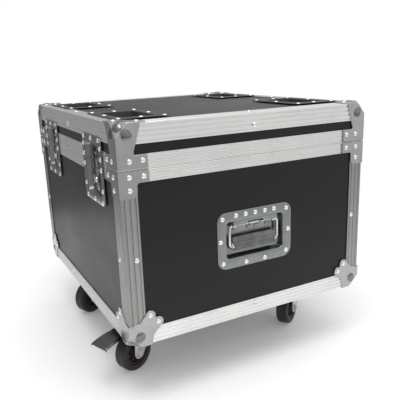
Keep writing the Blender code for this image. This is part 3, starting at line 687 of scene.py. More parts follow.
# %% Posts
def post(name, sx, sy):
    low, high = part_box(f"corner_post_{name}")
    section = angle_section(FLANGE, FLANGE, 3, 3)
    bm = bmesh.new()
    rings = [
        [bm.verts.new((sx * (HALF_WIDTH - u), sy * (HALF_DEPTH - v), height)) for u, v in section]
        for height in (low[2], high[2])
    ]
    capped_walls(bm, rings)
    node = f"corner_post_{name}"
    make_piece(f"post_{name}", mesh_of(bm), ALUMINIUM[2], "case_base", None, [node], 25)


for corner, (sx, sy) in CORNERS.items():
    post(corner, sx, sy)
print("stood", len(CORNERS), "posts")

# %% [markdown]
# ## Tongue and groove
# Base and lid meet in a pair of matching extrusions: a groove below, a tongue above. They keep dust and
# rain out and stop the lid from sliding. Both are notched where the latches are sunk in. The notch is a
# Boolean cut, the one tool here that a maker would recognise as a milling cutter.

# %% Rims
def mill(mesh, cutters):
    """Cuts each (mesh, matrix) cutter out of the mesh."""
    work = temporary(mesh)
    tools = []
    for cutter, place in cutters:
        tool = temporary(cutter)
        tool.matrix_world = place
        tools.append(tool)
        cut = work.modifiers.new("cut", "BOOLEAN")
        cut.operation = "DIFFERENCE"
        cut.object = tool
    made = evaluated(work)
    for tool in tools:
        bpy.data.objects.remove(tool, do_unlink=True)
    return made


def rim(name, section, body, node, notch):
    mesh = mesh_of(mitred_frame([(inset, PARTING + up) for inset, up in section]))
    for material in ALUMINIUM[:2]:
        mesh.materials.append(material)
    cutters = [(block(*notch), face_frame("left", -middle(f"latch_dish_{end}").y, PARTING)) for end in ENDS]
    make_piece(name, mill(mesh, cutters), ALUMINIUM[:2], body, None, [node], 25)


RIM_WALL, RIM_SLOT, RIM_LEG, WEB = 12.3 * MM, 11.1 * MM, 15 * MM, 1.5 * MM
half_gap = 0.15 * MM
notch = ((-40, -30, -10.2), (40, 40, 10))
base_section = [(SKIN, -BASE_RIM), (SKIN, -6.5 * MM), (RIM_SLOT, -6.5 * MM), (RIM_SLOT, -RIM_LEG)]
base_section += [(RIM_WALL, -RIM_LEG), (RIM_WALL, -half_gap), (9 * MM, -half_gap), (9 * MM, -5 * MM)]
base_section += [(3.4 * MM, -5 * MM), (3.4 * MM, -half_gap), (0.8 * MM, -half_gap)]
base_section += grooved((0, -1 * MM), (0, -BASE_RIM), 4)
rim("base_rim_extrusion", base_section, "case_base", "base_groove_rim", notch)
lid_section = [(0.8 * MM, half_gap), (4.6 * MM, half_gap), (4.6 * MM, -4 * MM), (7.8 * MM, -4 * MM)]
lid_section += [(7.8 * MM, half_gap), (RIM_WALL, half_gap), (RIM_WALL, RIM_LEG), (RIM_SLOT, RIM_LEG)]
lid_section += [(RIM_SLOT, WEB), (SKIN, WEB), (SKIN, LID_RIM)]
lid_section += grooved((0, LID_RIM), (0, 1 * MM), 5)
rim("lid_rim_extrusion", lid_section, "lid", "lid_tongue_rim", notch)
print("made the two rims")

# %% [markdown]
# ## Pressed pans
# A handle, a latch and a stacking dish are all the same thing to a press: a flat sheet pushed through a
# rounded hole, so that it flows over one fillet at the rim and another at the floor. We could bevel a box,
# but the bevel would follow every edge alike. Instead the pan is lofted through rounded rectangles, each a
# little smaller and lower than the last, and a Solidify modifier gives the sheet its thickness.

# %% Pans
QUARTER = [math.radians(degrees) for degrees in (0, 30, 60, 90)]


def pan_stations(rim, mouth, floor, front, depth, entry=1.6 * MM, foot=2.4 * MM):
    """(width, height, corner radius, level) from the rim's edge to the floor, for three such outlines."""
    rolled = ((0, 0.9 * MM), (0.2 * MM, 0.25 * MM), (0.8 * MM, 0))
    wide, high, corner = rim
    stations = [(wide - 2 * inset, high - 2 * inset, corner - inset, front - down) for inset, down in rolled]
    for a in QUARTER:
        out, level = entry * (1 - math.sin(a)), front - entry * (1 - math.cos(a))
        stations.append((mouth[0] + 2 * out, mouth[1] + 2 * out, mouth[2] + out, level))
    for a in QUARTER:
        inset, level = foot * (1 - math.cos(a)), front - depth + foot * (1 - math.sin(a))
        stations.append((floor[0] - 2 * inset, floor[1] - 2 * inset, max(floor[2] - inset, 0.8 * MM), level))
    return stations


def pressed(stations, centre=(0, 0), sheet=SHEET, keep=None):
    """A sheet through the stations, thickened behind its face. keep is (level, side) of a cut across Y."""
    bm = bmesh.new()
    loops = []
    for width, height, radius, level in stations:
        outline = rounded_rectangle(width, height, radius, centre)
        loops.append([bm.verts.new((x, y, level)) for x, y in outline])
    walls(bm, loops)
    bm.faces.new(loops[-1])
    if keep is not None:
        level, side = keep
        everything = bm.verts[:] + bm.edges[:] + bm.faces[:]
        cut = {"plane_co": (0, level, 0), "plane_no": (0, -side, 0)}
        bmesh.ops.bisect_plane(bm, geom=everything, clear_outer=True, **cut)
    mesh = bpy.data.meshes.new("pan")
    bm.to_mesh(mesh)
    bm.free()
    return modified(mesh, ("SOLIDIFY", {"thickness": sheet, "offset": -1.0, "use_even_offset": True}))


print("each pan bends over two fillets of", len(QUARTER), "outlines each")

# %% [markdown]
# ## Stacking dishes
# The four dishes in the lid take the wheels of the next case, so that a stack doesn't roll. They are painted
# black before they are riveted down, which leaves the rivets bright: that contrast is what makes them read.

# %% Stacking dishes
DISH = mm((101, 158, 8), (62, 108, 8), (52, 98, 6))
dish_low, dish_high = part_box("stacking_dish_front_left")
dish_front = dish_high[2] - LID_TOP
DISH_DEPTH = dish_high[2] - dish_low[2] - SHEET
DISH_PAN = pressed(pan_stations(*DISH, dish_front, DISH_DEPTH))
dish_rivets = spots([(x, y) for x in (-41, 41) for y in (-71, 0, 71)] + [(0, -67), (0, 67)], dish_front)
for corner in CORNERS:
    spot = middle(f"stacking_dish_{corner}")
    place = face_frame("top", spot.x, spot.y)
    node = f"stacking_dish_{corner}"
    make_piece(f"wheel_dish_{corner}", DISH_PAN.copy(), DISH_PAINT, "lid", place, [node])
    rivets(f"wheel_dish_rivets_{corner}", "lid", at(place, *dish_rivets))
print("pressed four dishes,", round(DISH_DEPTH * 1000, 1), "mm deep")

# %% [markdown]
# ## Handle dish
# The handle folds into a zinc dish. Along its top the sheet is left as a lip with a notch in it, which hides
# the handle's pivot and springs. Twelve rivets hold the rim. The lip is cut as its own flat plate, since a
# loft can only make a pan whose outlines nest, and it rides with the dish.

# %% Handle dishes
HANDLE_PAN = mm((158, 105, 18), (121, 67, 7), (116, 62, 6))
HANDLE_FRONT = -GAP
LIP_TOP, LIP_EDGE, NOTCH_EDGE = 35 * MM, 25 * MM, 30.5 * MM
HANDLE_RIVETS = [(x * 68, y * 41) for x in (-1, 1) for y in (-1, 1)]
HANDLE_RIVETS += [(x, 44) for x in (-40.5, -20.3, 0, 20.6, 40.5)]
HANDLE_RIVETS += [(-72.5, 0), (72.5, 0), (-20, -46), (20, -46)]


def lip_outline():
    half, notch = 45.5 * MM, 16 * MM
    right = [(notch - 2 * MM, NOTCH_EDGE), (notch, NOTCH_EDGE - 1 * MM), (notch + 1.5 * MM, LIP_EDGE)]
    right += [(half - 3 * MM, LIP_EDGE), (half, LIP_EDGE + 3 * MM), (half + 1 * MM, LIP_TOP)]
    return right + [(-x, y) for x, y in reversed(right)]


def build_handle_dish(end):
    low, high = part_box(f"handle_dish_{end}")
    place = face_frame(end, 0, (low[2] + high[2]) / 2)
    depth = (high[1] - low[1]) - SHEET
    pan = pressed(pan_stations(*HANDLE_PAN, HANDLE_FRONT, depth))
    lip = plate([lip_outline()], HANDLE_FRONT - SHEET, HANDLE_FRONT - 0.1 * MM)
    rib = (block((-44, -2.5, -0.4), (44, -1.3, 0.3)), shift(0, LIP_TOP, HANDLE_FRONT))
    pad_spots = spots([(x, 15) for x in (-34, -6, 10, 34)], HANDLE_FRONT - depth)
    pads = [(block((-5, -3, 0), (5, 3, 1.2)), shift(*spot)) for spot in pad_spots]
    mesh = joined(pan, lip, rib, *pads)
    node = f"handle_dish_{end}"
    make_piece(f"handle_pan_{end}", mesh, ZINC, "case_base", place, [node], 30)
    rivets(f"handle_rivets_{end}", "case_base", at(place, *spots(HANDLE_RIVETS, HANDLE_FRONT)))


for end in ENDS:
    build_handle_dish(end)
print("two handle dishes, with", len(HANDLE_RIVETS), "rivets each")

# %% [markdown]
# ## Handle
# The handle is a bent wire with a moulded grip, and a coil at each side pulls it shut. The grip's ribs run
# slantwise along its upper third. A displaced noise would give lumps, so the grip is a grid, along it and
# round it, with a sine added to its thickness. A sum of length and height in that sine makes the ribs slant.

# %% The grip and its wire
GRIP_LENGTH, GRIP_TALL, GRIP_THICK = 92 * MM, 26 * MM, 11 * MM
GRIP_DROP, ARM_REACH, ARM_SIDE, WIRE = 33 * MM, 36 * MM, 51 * MM, 3 * MM
RIB_PITCH, GROOVE_LINES = 6 * MM, (3.6, -4.6)


def squared(value):
    """A cosine or sine with fuller shoulders, which makes an oval nearly a rectangle."""
    return math.copysign(abs(value) ** 0.72, value)


def grip_mesh(along=132, around=76):
    """A flattened bar with two long grooves, and slanted ribs above them, from end to end along X."""
    bm = bmesh.new()
    rings = []
    for i in range(along + 1):
        t = i / along
        x, from_end = (t - 0.5) * GRIP_LENGTH, min(t, 1 - t)
        shoulder = min(1.0, 0.80 + 0.20 * math.sqrt(from_end * 22))
        ring = []
        for k in range(around):
            a = math.tau * k / around
            y = squared(math.cos(a)) * (GRIP_TALL / 2 - 0.4 * MM) * shoulder
            z = squared(math.sin(a)) * (GRIP_THICK / 2 - 0.5 * MM) * shoulder
            upper = min(1, max(0, y / MM - 4)) * min(1, from_end * 14)
            ribs = 0.45 * upper * math.sin(math.tau * (x + 0.8 * y) / RIB_PITCH)
            grooves = sum(math.exp(-((y / MM - line) ** 2)) for line in GROOVE_LINES)
            z += (ribs - 1.3 * grooves) * MM * math.sin(a)
            ring.append(bm.verts.new((x, y, z)))
        rings.append(ring)
    capped_walls(bm, rings)
    return mesh_of(bm)


def arm_path(side):
    """From the pivot's middle, round a bend, down one side and round into the grip."""
    bend = 6 * MM
    points = [(0.2 * ARM_SIDE, 0.0)] + arc((ARM_SIDE - bend, -bend), bend, 90, 0, 6)
    points += arc((ARM_SIDE - bend, -ARM_REACH + bend - 2 * MM), bend, 0, -90, 6)
    points.append((GRIP_LENGTH / 2 - 4 * MM, -ARM_REACH - 2 * MM))
    return [(side * x, y, 0.0) for x, y in points]


def spring_path(side, turns=5, radius=4.2 * MM, sides=16):
    steps = sides * turns
    start, length = 38 * MM, 8 * MM
    points = []
    for i in range(steps + 1):
        a = math.tau * i / sides
        points.append((side * (start + length * i / steps), radius * math.cos(a), radius * math.sin(a)))
    return points


def build_handle(end):
    low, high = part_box(f"handle_bail_{end}")
    depth = abs(ENDS[end] * HALF_DEPTH - (low[1] + high[1]) / 2)
    pivot = face_frame(end, 0, high[2] - WIRE) @ shift(z=-depth)
    ring = turned(mm((5.2, 2), (5.6, 1), (5.6, -1), (5.2, -2), (0, -2)), 28)
    collars = []
    for side in (-1, 1):
        spot = shift(side * (GRIP_LENGTH / 2 - 0.4 * MM), -GRIP_DROP - 4 * MM) @ spin(90 * side, "Y")
        collars.append((ring, spot @ Matrix.Diagonal((0.8, 1, 1, 1))))
    bars = [wire(arm_path(side), WIRE - 0.1 * MM) for side in (-1, 1)]
    bars.append(wire([(-0.25 * ARM_SIDE, 0, 0), (0.25 * ARM_SIDE, 0, 0)], WIRE - 0.1 * MM))
    bars = joined(*bars, *collars)
    springs = joined(*[wire(spring_path(side), 0.8 * MM, sides=2) for side in (-1, 1)])
    grip = joined((grip_mesh(), shift(y=-GRIP_DROP)))
    body, node = f"handle_{end}", f"handle_bail_{end}"
    make_piece(f"handle_grip_{end}", grip, GRIP_RUBBER, body, pivot, [node], 50)
    make_piece(f"handle_wire_{end}", bars, SPRING_STEEL, body, pivot)
    make_piece(f"handle_springs_{end}", springs, SPRING_STEEL, body, pivot)


for end in ENDS:
    build_handle(end)
print("two sprung handles, with grips of", round(GRIP_LENGTH * 1000), "mm")

# %% [markdown]
# ## Latch dish and keeper
# One pressed pan is sunk across the joint, and then parted: the lower part stays with the base and the upper
# part, the keeper, lifts with the lid. So the loft is made once and cut at the parting line with two
# different sides kept. Rails stand up on either side of the hook to guide it.

# %% Latch dishes and keepers
LATCH_PAN = mm((110, 118, 14), (78, 90, 8), (74, 86, 7))
LATCH_DROP, WING_DROP, LATCH_FRONT, LATCH_FLOOR = 13 * MM, 33 * MM, GAP + SHEET, 8.5 * MM
RAIL_HEIGHT = 5.2
UPPER_RIVETS = [(x, 40.4) for x in (-42, 0, 42)] + [(x, y) for x in (-47, 47) for y in (9, 27)]
LOWER_RIVETS = [(x, -66.5) for x in (-42, 0, 42)] + [(x, y) for x in (-47, 47) for y in (-9, -45)]


def rails(low, high, bridge=None):
    """A rail on each side of the hook's path, and perhaps a bridge across at one end."""
    parts = [block((x - 1.4, low, -0.2), (x + 1.4, high, RAIL_HEIGHT), 0.7) for x in (-14.6, 14.6)]
    if bridge is not None:
        parts.append(block((-15.5, bridge - 3, -0.2), (15.5, bridge, RAIL_HEIGHT), 0.7))
    return [(part, shift(z=-LATCH_FLOOR)) for part in parts]


def build_latch_pans(end):
    place = face_frame("left", -middle(f"latch_dish_{end}").y, PARTING)
    stations = pan_stations(*LATCH_PAN, LATCH_FRONT, LATCH_FRONT + LATCH_FLOOR)
    dish = pressed(stations, (0, -LATCH_DROP), 1.0 * MM, (-GAP, -1))
    keeper = pressed(stations, (0, -LATCH_DROP), 1.0 * MM, (GAP, 1))
    stop = plate([circle((0, 0), 8.2 * MM, 20)], -LATCH_FLOOR, -LATCH_FLOOR + 0.25 * MM, 0.1 * MM)
    dish = joined(dish, *rails(-14, -1.5), (stop, shift(y=-WING_DROP)))
    keeper = joined(keeper, *rails(1.5, 29.5, 29.5))
    make_piece(f"latch_bed_{end}", dish, ZINC, "case_base", place, [f"latch_dish_{end}"], 30)
    make_piece(f"latch_catch_{end}", keeper, ZINC, "lid", place, [f"latch_keeper_{end}"], 30)
    rivets(f"latch_bed_rivets_{end}", "case_base", at(place, *spots(LOWER_RIVETS, LATCH_FRONT)))
    rivets(f"latch_catch_rivets_{end}", "lid", at(place, *spots(UPPER_RIVETS, LATCH_FRONT)))


for end in ENDS:
    build_latch_pans(end)
print("two latches, each in two parts")

# %% [markdown]
# ## Butterfly and hook
# A quarter turn would do, but these latches take half a turn: the wing turns a cam, and the cam lifts the
# hook out of its keeper. The wing is stamped, with its two long edges folded up for the fingers. Its outline
# is one radius that swells twice in a turn, which a short formula draws better than a list of points.

# %% Wings and hooks
def wing_outline(points=40):
    """A butterfly: the radius is large twice in a turn, and pinched between."""
    outline = []
    for i in range(points):
        a = math.tau * i / points
        radius = (16.6 + 3.9 * math.cos(2 * a) - 0.9 * math.cos(4 * a)) * MM
        outline.append((radius * math.sin(a) * 0.80, radius * math.cos(a)))
    return outline


def build_wing(end):
    place = face_frame("left", -middle(f"latch_wing_{end}").y, PARTING - WING_DROP) @ shift(z=-LATCH_FLOOR)
    body = plate([wing_outline()], 2.1 * MM, 3.6 * MM, 0.4 * MM)
    folds = [block((x - 1, -8.5, 2.6), (x + 1, 8.5, 6.8), 0.8) for x in (-10.2, 10.2)]
    wing = joined(body, *folds)
    stud = turned(mm((0, 5.6), (1.6, 5.4), (2.4, 6.6), (4.6, 6.2), (5.2, 4.8), (5.2, 0.6), (0, 0.6)), 28)
    rider, node = f"wing_{end}", f"latch_wing_{end}"
    make_piece(f"butterfly_{end}", wing, NICKEL, rider, place, [node], 30)
    make_piece(f"butterfly_stud_{end}", stud, RIVET_METAL, rider, place, crease=50)


def build_hook(end):
    place = face_frame("left", -middle(f"latch_hook_{end}").y, PARTING) @ shift(z=-LATCH_FLOOR)
    half, foot, shoulder, head = 10.6, -26.5, 12.8, 16.8
    outline = mm((-half, foot), (half, foot), (half, shoulder), (half - 4, head), (4 - half, head))
    outline += mm((-half, shoulder))
    window = mm((-5.4, 4.5), (5.4, 4.5), (5.4, 11), (-5.4, 11))
    blade = plate([outline, window], GAP, 1.6 * MM, 0.25 * MM)
    nose = block((-6.4, 12.2, 1.0), (6.4, 16.4, 4.4), 0.9)
    ridge = block((-7.5, -10.5, 1.2), (7.5, 2.5, 3.4), 0.9)
    hook, node = joined(blade, nose, ridge), f"latch_hook_{end}"
    make_piece(f"hook_{end}", hook, NICKEL, f"hook_{end}", place, [node], 30)


for end in ENDS:
    build_wing(end)
    build_hook(end)
print("two butterflies and their hooks")

# %% [markdown]
# ## Ball corners
# A ball corner is drawn from one disc of steel: a ball at the vertex, and three leaves that run out over the
# faces. The ball melts into the leaves, which is hard to model edge by edge. So the shapes are only thrown
# together, and a voxel Remesh wraps one skin round them all, which smoothing then relaxes into a drawn look.

# %% Corner shapes
PROUD, BURIED = 1.5 * MM, 0.8 * MM
BALL_CENTRE, BALL_RADIUS = 18 * MM, 21.7 * MM
HIDDEN_DEPTH, HIDDEN_SUM = 2 * MM, 50 * MM
AXES = {"x": (1, 0, 0, 0), "y": (0, 1, 0, 0), "z": (0, 0, 1, 0)}
TURNS = [Matrix([AXES[axis] for axis in order] + [(0, 0, 0, 1)]) for order in ("xyz", "xzy", "zxy")]
SIDE_LEAVES = TURNS[1:]


def flat_sheet(outline, low, high):
    """A plain plate with sharp edges, which the Remesh rounds."""
    bm = bmesh.new()
    capped_walls(bm, [[bm.verts.new((x, y, z)) for x, y in outline] for z in (low, high)])
    return mesh_of(bm)


def cap_at_vertex():
    """The sloping plate that closes the sawn-off vertex."""
    bm = bmesh.new()
    rings = []
    for total in (CORNER_CUT + 4 * MM, CORNER_CUT - 1.6 * MM):
        far = total + 2 * PROUD
        places = [tuple(far if i == axis else -PROUD for i in range(3)) for axis in range(3)]
        rings.append([bm.verts.new(place) for place in places])
    capped_walls(bm, rings)
    return mesh_of(bm)


def without_vertex(sheet):
    """A leaf with the part next to the vertex cut off, where the ball and its cap take over."""
    bm = bmesh.new()
    bm.from_mesh(sheet)
    diagonal = Vector((1, 1, 1)).normalized()
    everything = bm.verts[:] + bm.edges[:] + bm.faces[:]
    cut = {"plane_co": diagonal * ((CORNER_CUT - 1 * MM) / math.sqrt(3)), "plane_no": -diagonal}
    split = bmesh.ops.bisect_plane(bm, geom=everything, clear_outer=True, **cut)
    edges = [item for item in split["geom_cut"] if isinstance(item, bmesh.types.BMEdge)]
    bmesh.ops.edgeloop_fill(bm, edges=edges)
    return mesh_of(bm)


def drawn_corner(legs, voxel=0.9 * MM):
    """One skin round a ball and three leaves, at the origin, with the case on the positive sides."""
    bm = bmesh.new()
    for outline, turn in zip(legs, TURNS):
        bm.from_mesh(without_vertex(joined((flat_sheet(outline, -PROUD, BURIED), turn))))
    bm.from_mesh(cap_at_vertex())
    centre = Vector([BALL_CENTRE] * 3)
    ball = {"u_segments": 40, "v_segments": 24, "radius": BALL_RADIUS}
    bmesh.ops.create_uvsphere(bm, matrix=Matrix.Translation(centre), **ball)
    skin = ("REMESH", {"mode": "VOXEL", "voxel_size": voxel})
    smoothing, thinning = ("SMOOTH", {"factor": 0.5, "iterations": 3}), ("DECIMATE", {"ratio": 0.30})
    mesh = modified(mesh_of(bm), skin, smoothing, thinning)
    bm = bmesh.new()
    bm.from_mesh(mesh)
    inside = [v for v in bm.verts if min(v.co) > HIDDEN_DEPTH and sum(v.co) > HIDDEN_SUM]
    bmesh.ops.delete(bm, geom=inside, context="VERTS")
    # Faces of the ball's cap take the second finish, whose dark colour is a painted reflection.
    for face in bm.faces:
        spot = face.calc_center_median()
        on_ball = abs((spot - centre).length - BALL_RADIUS) < 0.6 * MM
        face.material_index = int(on_ball and (min(spot) < -PROUD - 0.2 * MM or sum(spot) < 24 * MM))
    return mesh_of(bm)


def on_leaves(place, pairs, turns):
    """Rivet frames at the same places, in millimetres, on several leaves of a corner."""
    turned_over = spin(180, "X")
    return [place @ turn @ shift(*spot) @ turned_over for turn in turns for spot in spots(pairs, -PROUD)]


EAR, EARS = 9.5 * MM, ((38, 52), (52, 38))


def eared_leaf():
    upper, lower = mm(*EARS)
    points = [(-PROUD, -PROUD), (40 * MM, -PROUD), *mm((40.5, 8), (43, 18))]
    points += arc(lower, EAR, -70, 112, 16) + arc(upper, EAR, -22, 160, 16)
    return points + mm((18, 43), (8, 40.5)) + [(-PROUD, 40 * MM)]


FOOT_CORNER = drawn_corner([eared_leaf()] * 3)
for corner, (sx, sy) in CORNERS.items():
    place = shift(sx * HALF_WIDTH, sy * HALF_DEPTH, FLOOR) @ Matrix.Diagonal((-sx, -sy, 1, 1))
    mesh, node = joined((FOOT_CORNER, place)), f"ball_corner_{corner}"
    make_piece(f"foot_corner_{corner}", mesh, [NICKEL, POLISHED_PAINTED_DARK], "case_base", None, [node], 60)
    rivets(f"foot_corner_rivets_{corner}", "case_base", on_leaves(place, EARS, SIDE_LEAVES))
print("a ball corner has", len(FOOT_CORNER.polygons), "faces")

# %% [markdown]
# ## Lid corners
# The lid's corners reach the whole height of the lid, and step out at the bottom to hold its rim. They share
# the recipe and differ only in their leaves. A smaller bracket below each one holds the end of the base rim.

# %% Lid corners and rim brackets
STEP, SHORT, LONG = LID_HEIGHT - LID_RIM, 41 * MM, 51 * MM
lid_side = [(-PROUD, -PROUD), (SHORT, -PROUD), (SHORT, 4 * MM), (28 * MM, STEP - 4 * MM), (28 * MM, STEP)]
lid_side += [(LONG, STEP), (LONG, LID_HEIGHT - 0.8 * MM), (-PROUD, LID_HEIGHT - 0.8 * MM)]
lid_top = [(-PROUD, -PROUD), (LONG, -PROUD), *mm((51, 24), (33, 33), (24, 51)), (-PROUD, LONG)]
LID_CORNER = drawn_corner([lid_top, lid_side, lid_side])
SIDE_RIVETS = [(19.7, LID_HEIGHT / MM - 14.7), (42, LID_HEIGHT / MM - 15)]
for corner, (sx, sy) in CORNERS.items():
    place = shift(sx * HALF_WIDTH, sy * HALF_DEPTH, LID_TOP) @ Matrix.Diagonal((-sx, -sy, -1, 1))
    mesh, node = joined((LID_CORNER, place)), f"lid_corner_{corner}"
    make_piece(f"lid_ball_corner_{corner}", mesh, [NICKEL, POLISHED_PAINTED_DARK], "lid", None, [node], 60)
    places = on_leaves(place, SIDE_RIVETS, SIDE_LEAVES) + on_leaves(place, ((40, 12), (12, 40)), TURNS[:1])
    rivets(f"lid_corner_rivets_{corner}", "lid", places)


BRACKET_TOP, BRACKET_DROP = 0.8 * MM, 43.5 * MM


def bracket_leaf():
    """Along the rim and down the post, from the corner just below the parting line."""
    far, leg, round_end, fillet = 51.4 * MM, 30 * MM, 9 * MM, 3 * MM
    points = [(0, BRACKET_TOP), (far, BRACKET_TOP), (far, BASE_RIM)]
    points += [(leg + fillet, BASE_RIM), (leg, BASE_RIM + fillet)]
    points += arc((leg - round_end, BRACKET_DROP - round_end), round_end, 0, 90, 6)
    return points + [(0, BRACKET_DROP)]


def build_bracket(corner, sx, sy):
    place = shift(sx * HALF_WIDTH, sy * HALF_DEPTH, PARTING) @ Matrix.Diagonal((-sx, -sy, -1, 1))
    leaf = flat_sheet(bracket_leaf(), -PROUD, -0.1 * MM)
    bend = wire([(0, 0, BRACKET_TOP), (0, 0, BRACKET_DROP)], PROUD - 0.02 * MM, sides=4)
    mesh = joined(*[(leaf, place @ turn) for turn in SIDE_LEAVES], (bend, place))
    make_piece(f"rim_bracket_{corner}", mesh, NICKEL, "case_base", None, (), 40)
    places = on_leaves(place, ((17.8, 10), (42, 10), (17.5, 31)), SIDE_LEAVES)
    rivets(f"rim_bracket_rivets_{corner}", "case_base", places)


for corner, (sx, sy) in CORNERS.items():
    build_bracket(corner, sx, sy)
print("a lid corner has", len(LID_CORNER.polygons), "faces")

# %% [markdown]
# ## Castors
# Each castor is a plate, a fork that swivels under it on a ball race, and a wheel on a bolt. Its frame comes
# from the model's joints: the swivel gives the place and the axle gives the direction. So one drawing serves
# all four, whichever way they point. The castor's own X trails behind the swivel, and Y runs along the axle.

# %% Castor frames
WHEEL_RADIUS, TYRE_HALF, HUB_RADIUS = 37.5 * MM, 13 * MM, 25 * MM
FORK_INNER, FORK_SHEET, TRAIL = 15.6 * MM, 2.5 * MM, 25.5 * MM
joints = {joint["name"]: joint for joint in frame["joints"]}


def castor_frame(corner, place):
    across = Vector(joints[f"{corner}_wheel_spin"]["axis"])
    upright = Vector((0, 0, 1))
    return Matrix.Translation(place) @ Matrix((across.cross(upright), across, upright)).transposed().to_4x4()


print("castors stand at", [corner for corner in CORNERS])

# %% [markdown]
# ## Wheels
# The tyre is a solid band with rounded shoulders and a dull tread. Its moulded hub sits back in the side,
# with eight ribs between a rim and a boss, because a thick plain disc would sink as it cooled. Two profiles
# are turned, and the ribs are copies of one block.

# %% Wheels
def tyre_mesh():
    shoulder, seam = 5 * MM, WHEEL_RADIUS - 0.25 * MM
    lips = ((-0.5, -5.5), (0, -2.6), (1.5, -0.9), (4.6, -0.5), (5.2, -0.1))
    side = [(HUB_RADIUS + out, TYRE_HALF + up) for out, up in mm(*lips)]
    side += arc((WHEEL_RADIUS - shoulder, TYRE_HALF - shoulder), shoulder, 85, 5, 7)
    side += [(WHEEL_RADIUS, 3.5 * MM), (seam, 3.1 * MM), (seam, 2.7 * MM), (WHEEL_RADIUS, 2.3 * MM)]
    return turned(both_sides(side), 56)


def hub_mesh(ribs=8):
    boss, bore, half, web = 9.5, 4.4, 15.1, 4.2
    hub, rim = HUB_RADIUS / MM, TYRE_HALF / MM - 3.2
    side = [(bore, half), (boss - 1, half), (boss, half - 1), (boss + 1, 7), (13, web), (hub - 4.5, web)]
    side += [(hub - 3.2, rim), (hub - 0.6, rim), (hub - 0.2, rim - 0.8)]
    rib = block((boss - 0.5, -0.9, -7.6), (hub - 3.4, 0.9, 7.6), 0.35)
    return joined(turned(both_sides(mm(*side)), 48), *[(rib, spin(360 / ribs * i, "Z")) for i in range(ribs)])


TYRE, HUB = tyre_mesh(), hub_mesh()
for corner in CORNERS:
    axle = castor_frame(corner, joints[f"{corner}_wheel_spin"]["pos_m"]) @ spin(90, "X")
    body, node = f"wheel_{corner}", f"castor_wheel_{corner}"
    make_piece(f"tyre_{corner}", TYRE.copy(), TYRE_RUBBER, body, axle, [node], 40)
    make_piece(f"hub_{corner}", HUB.copy(), HUB_PLASTIC, body, axle, (), 35)
print("turned four wheels,", round(WHEEL_RADIUS * 2000), "mm across")

# %% [markdown]
# ## Forks
# A fork is pressed from one sheet: a crown with two legs folded down. Above it are the two cups of the ball
# race, and below it the riveted kingpin. The axle is a bolt with a hexagon head at one end and a lock nut
# at the other. The legs have a rolled rib, which keeps thin sheet from bending.

# %% Forks
LEG_TOP = -13.5 * MM


def hexagon(radius, low, high):
    return plate([circle((0, 0), radius, 6)], low, high, 0.5 * MM)


def leg_outline():
    axle = (TRAIL, WHEEL_RADIUS - CASTOR_TOP)
    outline = [(-19 * MM, LEG_TOP), (-19 * MM, -24 * MM)]
    outline += arc(axle, 11.5 * MM, 205, 365, 16)
    return outline + [(34 * MM, -24 * MM), (34 * MM, LEG_TOP)]


def axle_end():
    """The washer, the hexagon and the bolt's end that show on each side of a fork."""
    washer = plate([circle((0, 0), 8.2 * MM, 24)], -0.2 * MM, 1.2 * MM, 0.3 * MM)
    bolt = turned(mm((0, 5.9), (3.4, 5.9), (3.9, 5.4), (3.9, 0)), 20)
    return washer, hexagon(7.0 * MM, 1.0 * MM, 4.6 * MM), bolt


def fork_mesh():
    axle_height = WHEEL_RADIUS - CASTOR_TOP
    outer = FORK_INNER + FORK_SHEET
    parts = []
    for side in (-1, 1):
        low, high = sorted((side * FORK_INNER, side * outer))
        leg = plate([leg_outline(), circle((24 * MM, -20 * MM), 3 * MM, 16)], low, high, 0.5 * MM)
        ring_place = shift(TRAIL, -side * outer, axle_height) @ spin(90 * side, "X")
        parts += [(leg, spin(90, "X")), (collar(10.6, 8.4, -0.2, 0.5, 28), ring_place)]
        end_place = shift(TRAIL, side * outer, axle_height) @ spin(-90 * side, "X")
        parts += [(part, end_place) for part in axle_end()]
    wide, top = outer / MM, LEG_TOP / MM
    crown = block((-19, -wide, top - FORK_SHEET / MM), (34, wide, top), 1.1)
    cups = mm((0, -9.4), (20.6, -9.4), (22.6, -10.2), (23.3, -11.6), (22.6, -12.8), (21.6, -13.4))
    cups += mm((21.2, -14.6), (0, -14.6))
    pin = mm((0, -15.5), (5.6, -15.5), (5.6, -18.2), (4.6, -19.4), (0, -19.8))
    return joined(*parts, crown, turned(cups, 44), turned(pin, 20))


CASTOR_TOP = joints["front_left_swivel"]["pos_m"][2]
FORK = fork_mesh()
# The forks' finish carries painted light over the shadow under the case.
for corner in CORNERS:
    place = castor_frame(corner, joints[f"{corner}_swivel"]["pos_m"])
    node = f"castor_fork_{corner}"
    make_piece(f"fork_{corner}", FORK.copy(), FORK_STEEL_PAINTED_LIGHT, f"fork_{corner}", place, [node], 30)
print("a fork has", len(FORK.polygons), "faces")

# %% [markdown]
# ## Castor plates
# The plate is screwed to the board by four flanged bolts. Its face carries the upper cup of the race. It is
# made again here, rather than only dressed, so that its edge is rounded and its bolts have heads.

# %% Castor plates
def castor_plate_mesh():
    sheet = plate([rounded_rectangle(92 * MM, 64 * MM, 6 * MM)], -2.5 * MM, -0.1 * MM, 0.4 * MM)
    cup = [(12, -2.2), (23.6, -2.2), (24, -4.5), (23.6, -8.4), (22.4, -9.0), (12, -9.0), (12, -2.2)]
    flange = plate([circle((0, 0), 7.4 * MM, 24)], -3.5 * MM, -2.4 * MM, 0.3 * MM)
    head = joined(hexagon(6.0 * MM, -6.4 * MM, -3.2 * MM), flange)
    bolts = [(head, shift(sx * 37 * MM, sy * 23 * MM)) for sx, sy in CORNERS.values()]
    return joined(sheet, turned(mm(*cup), 44), *bolts)


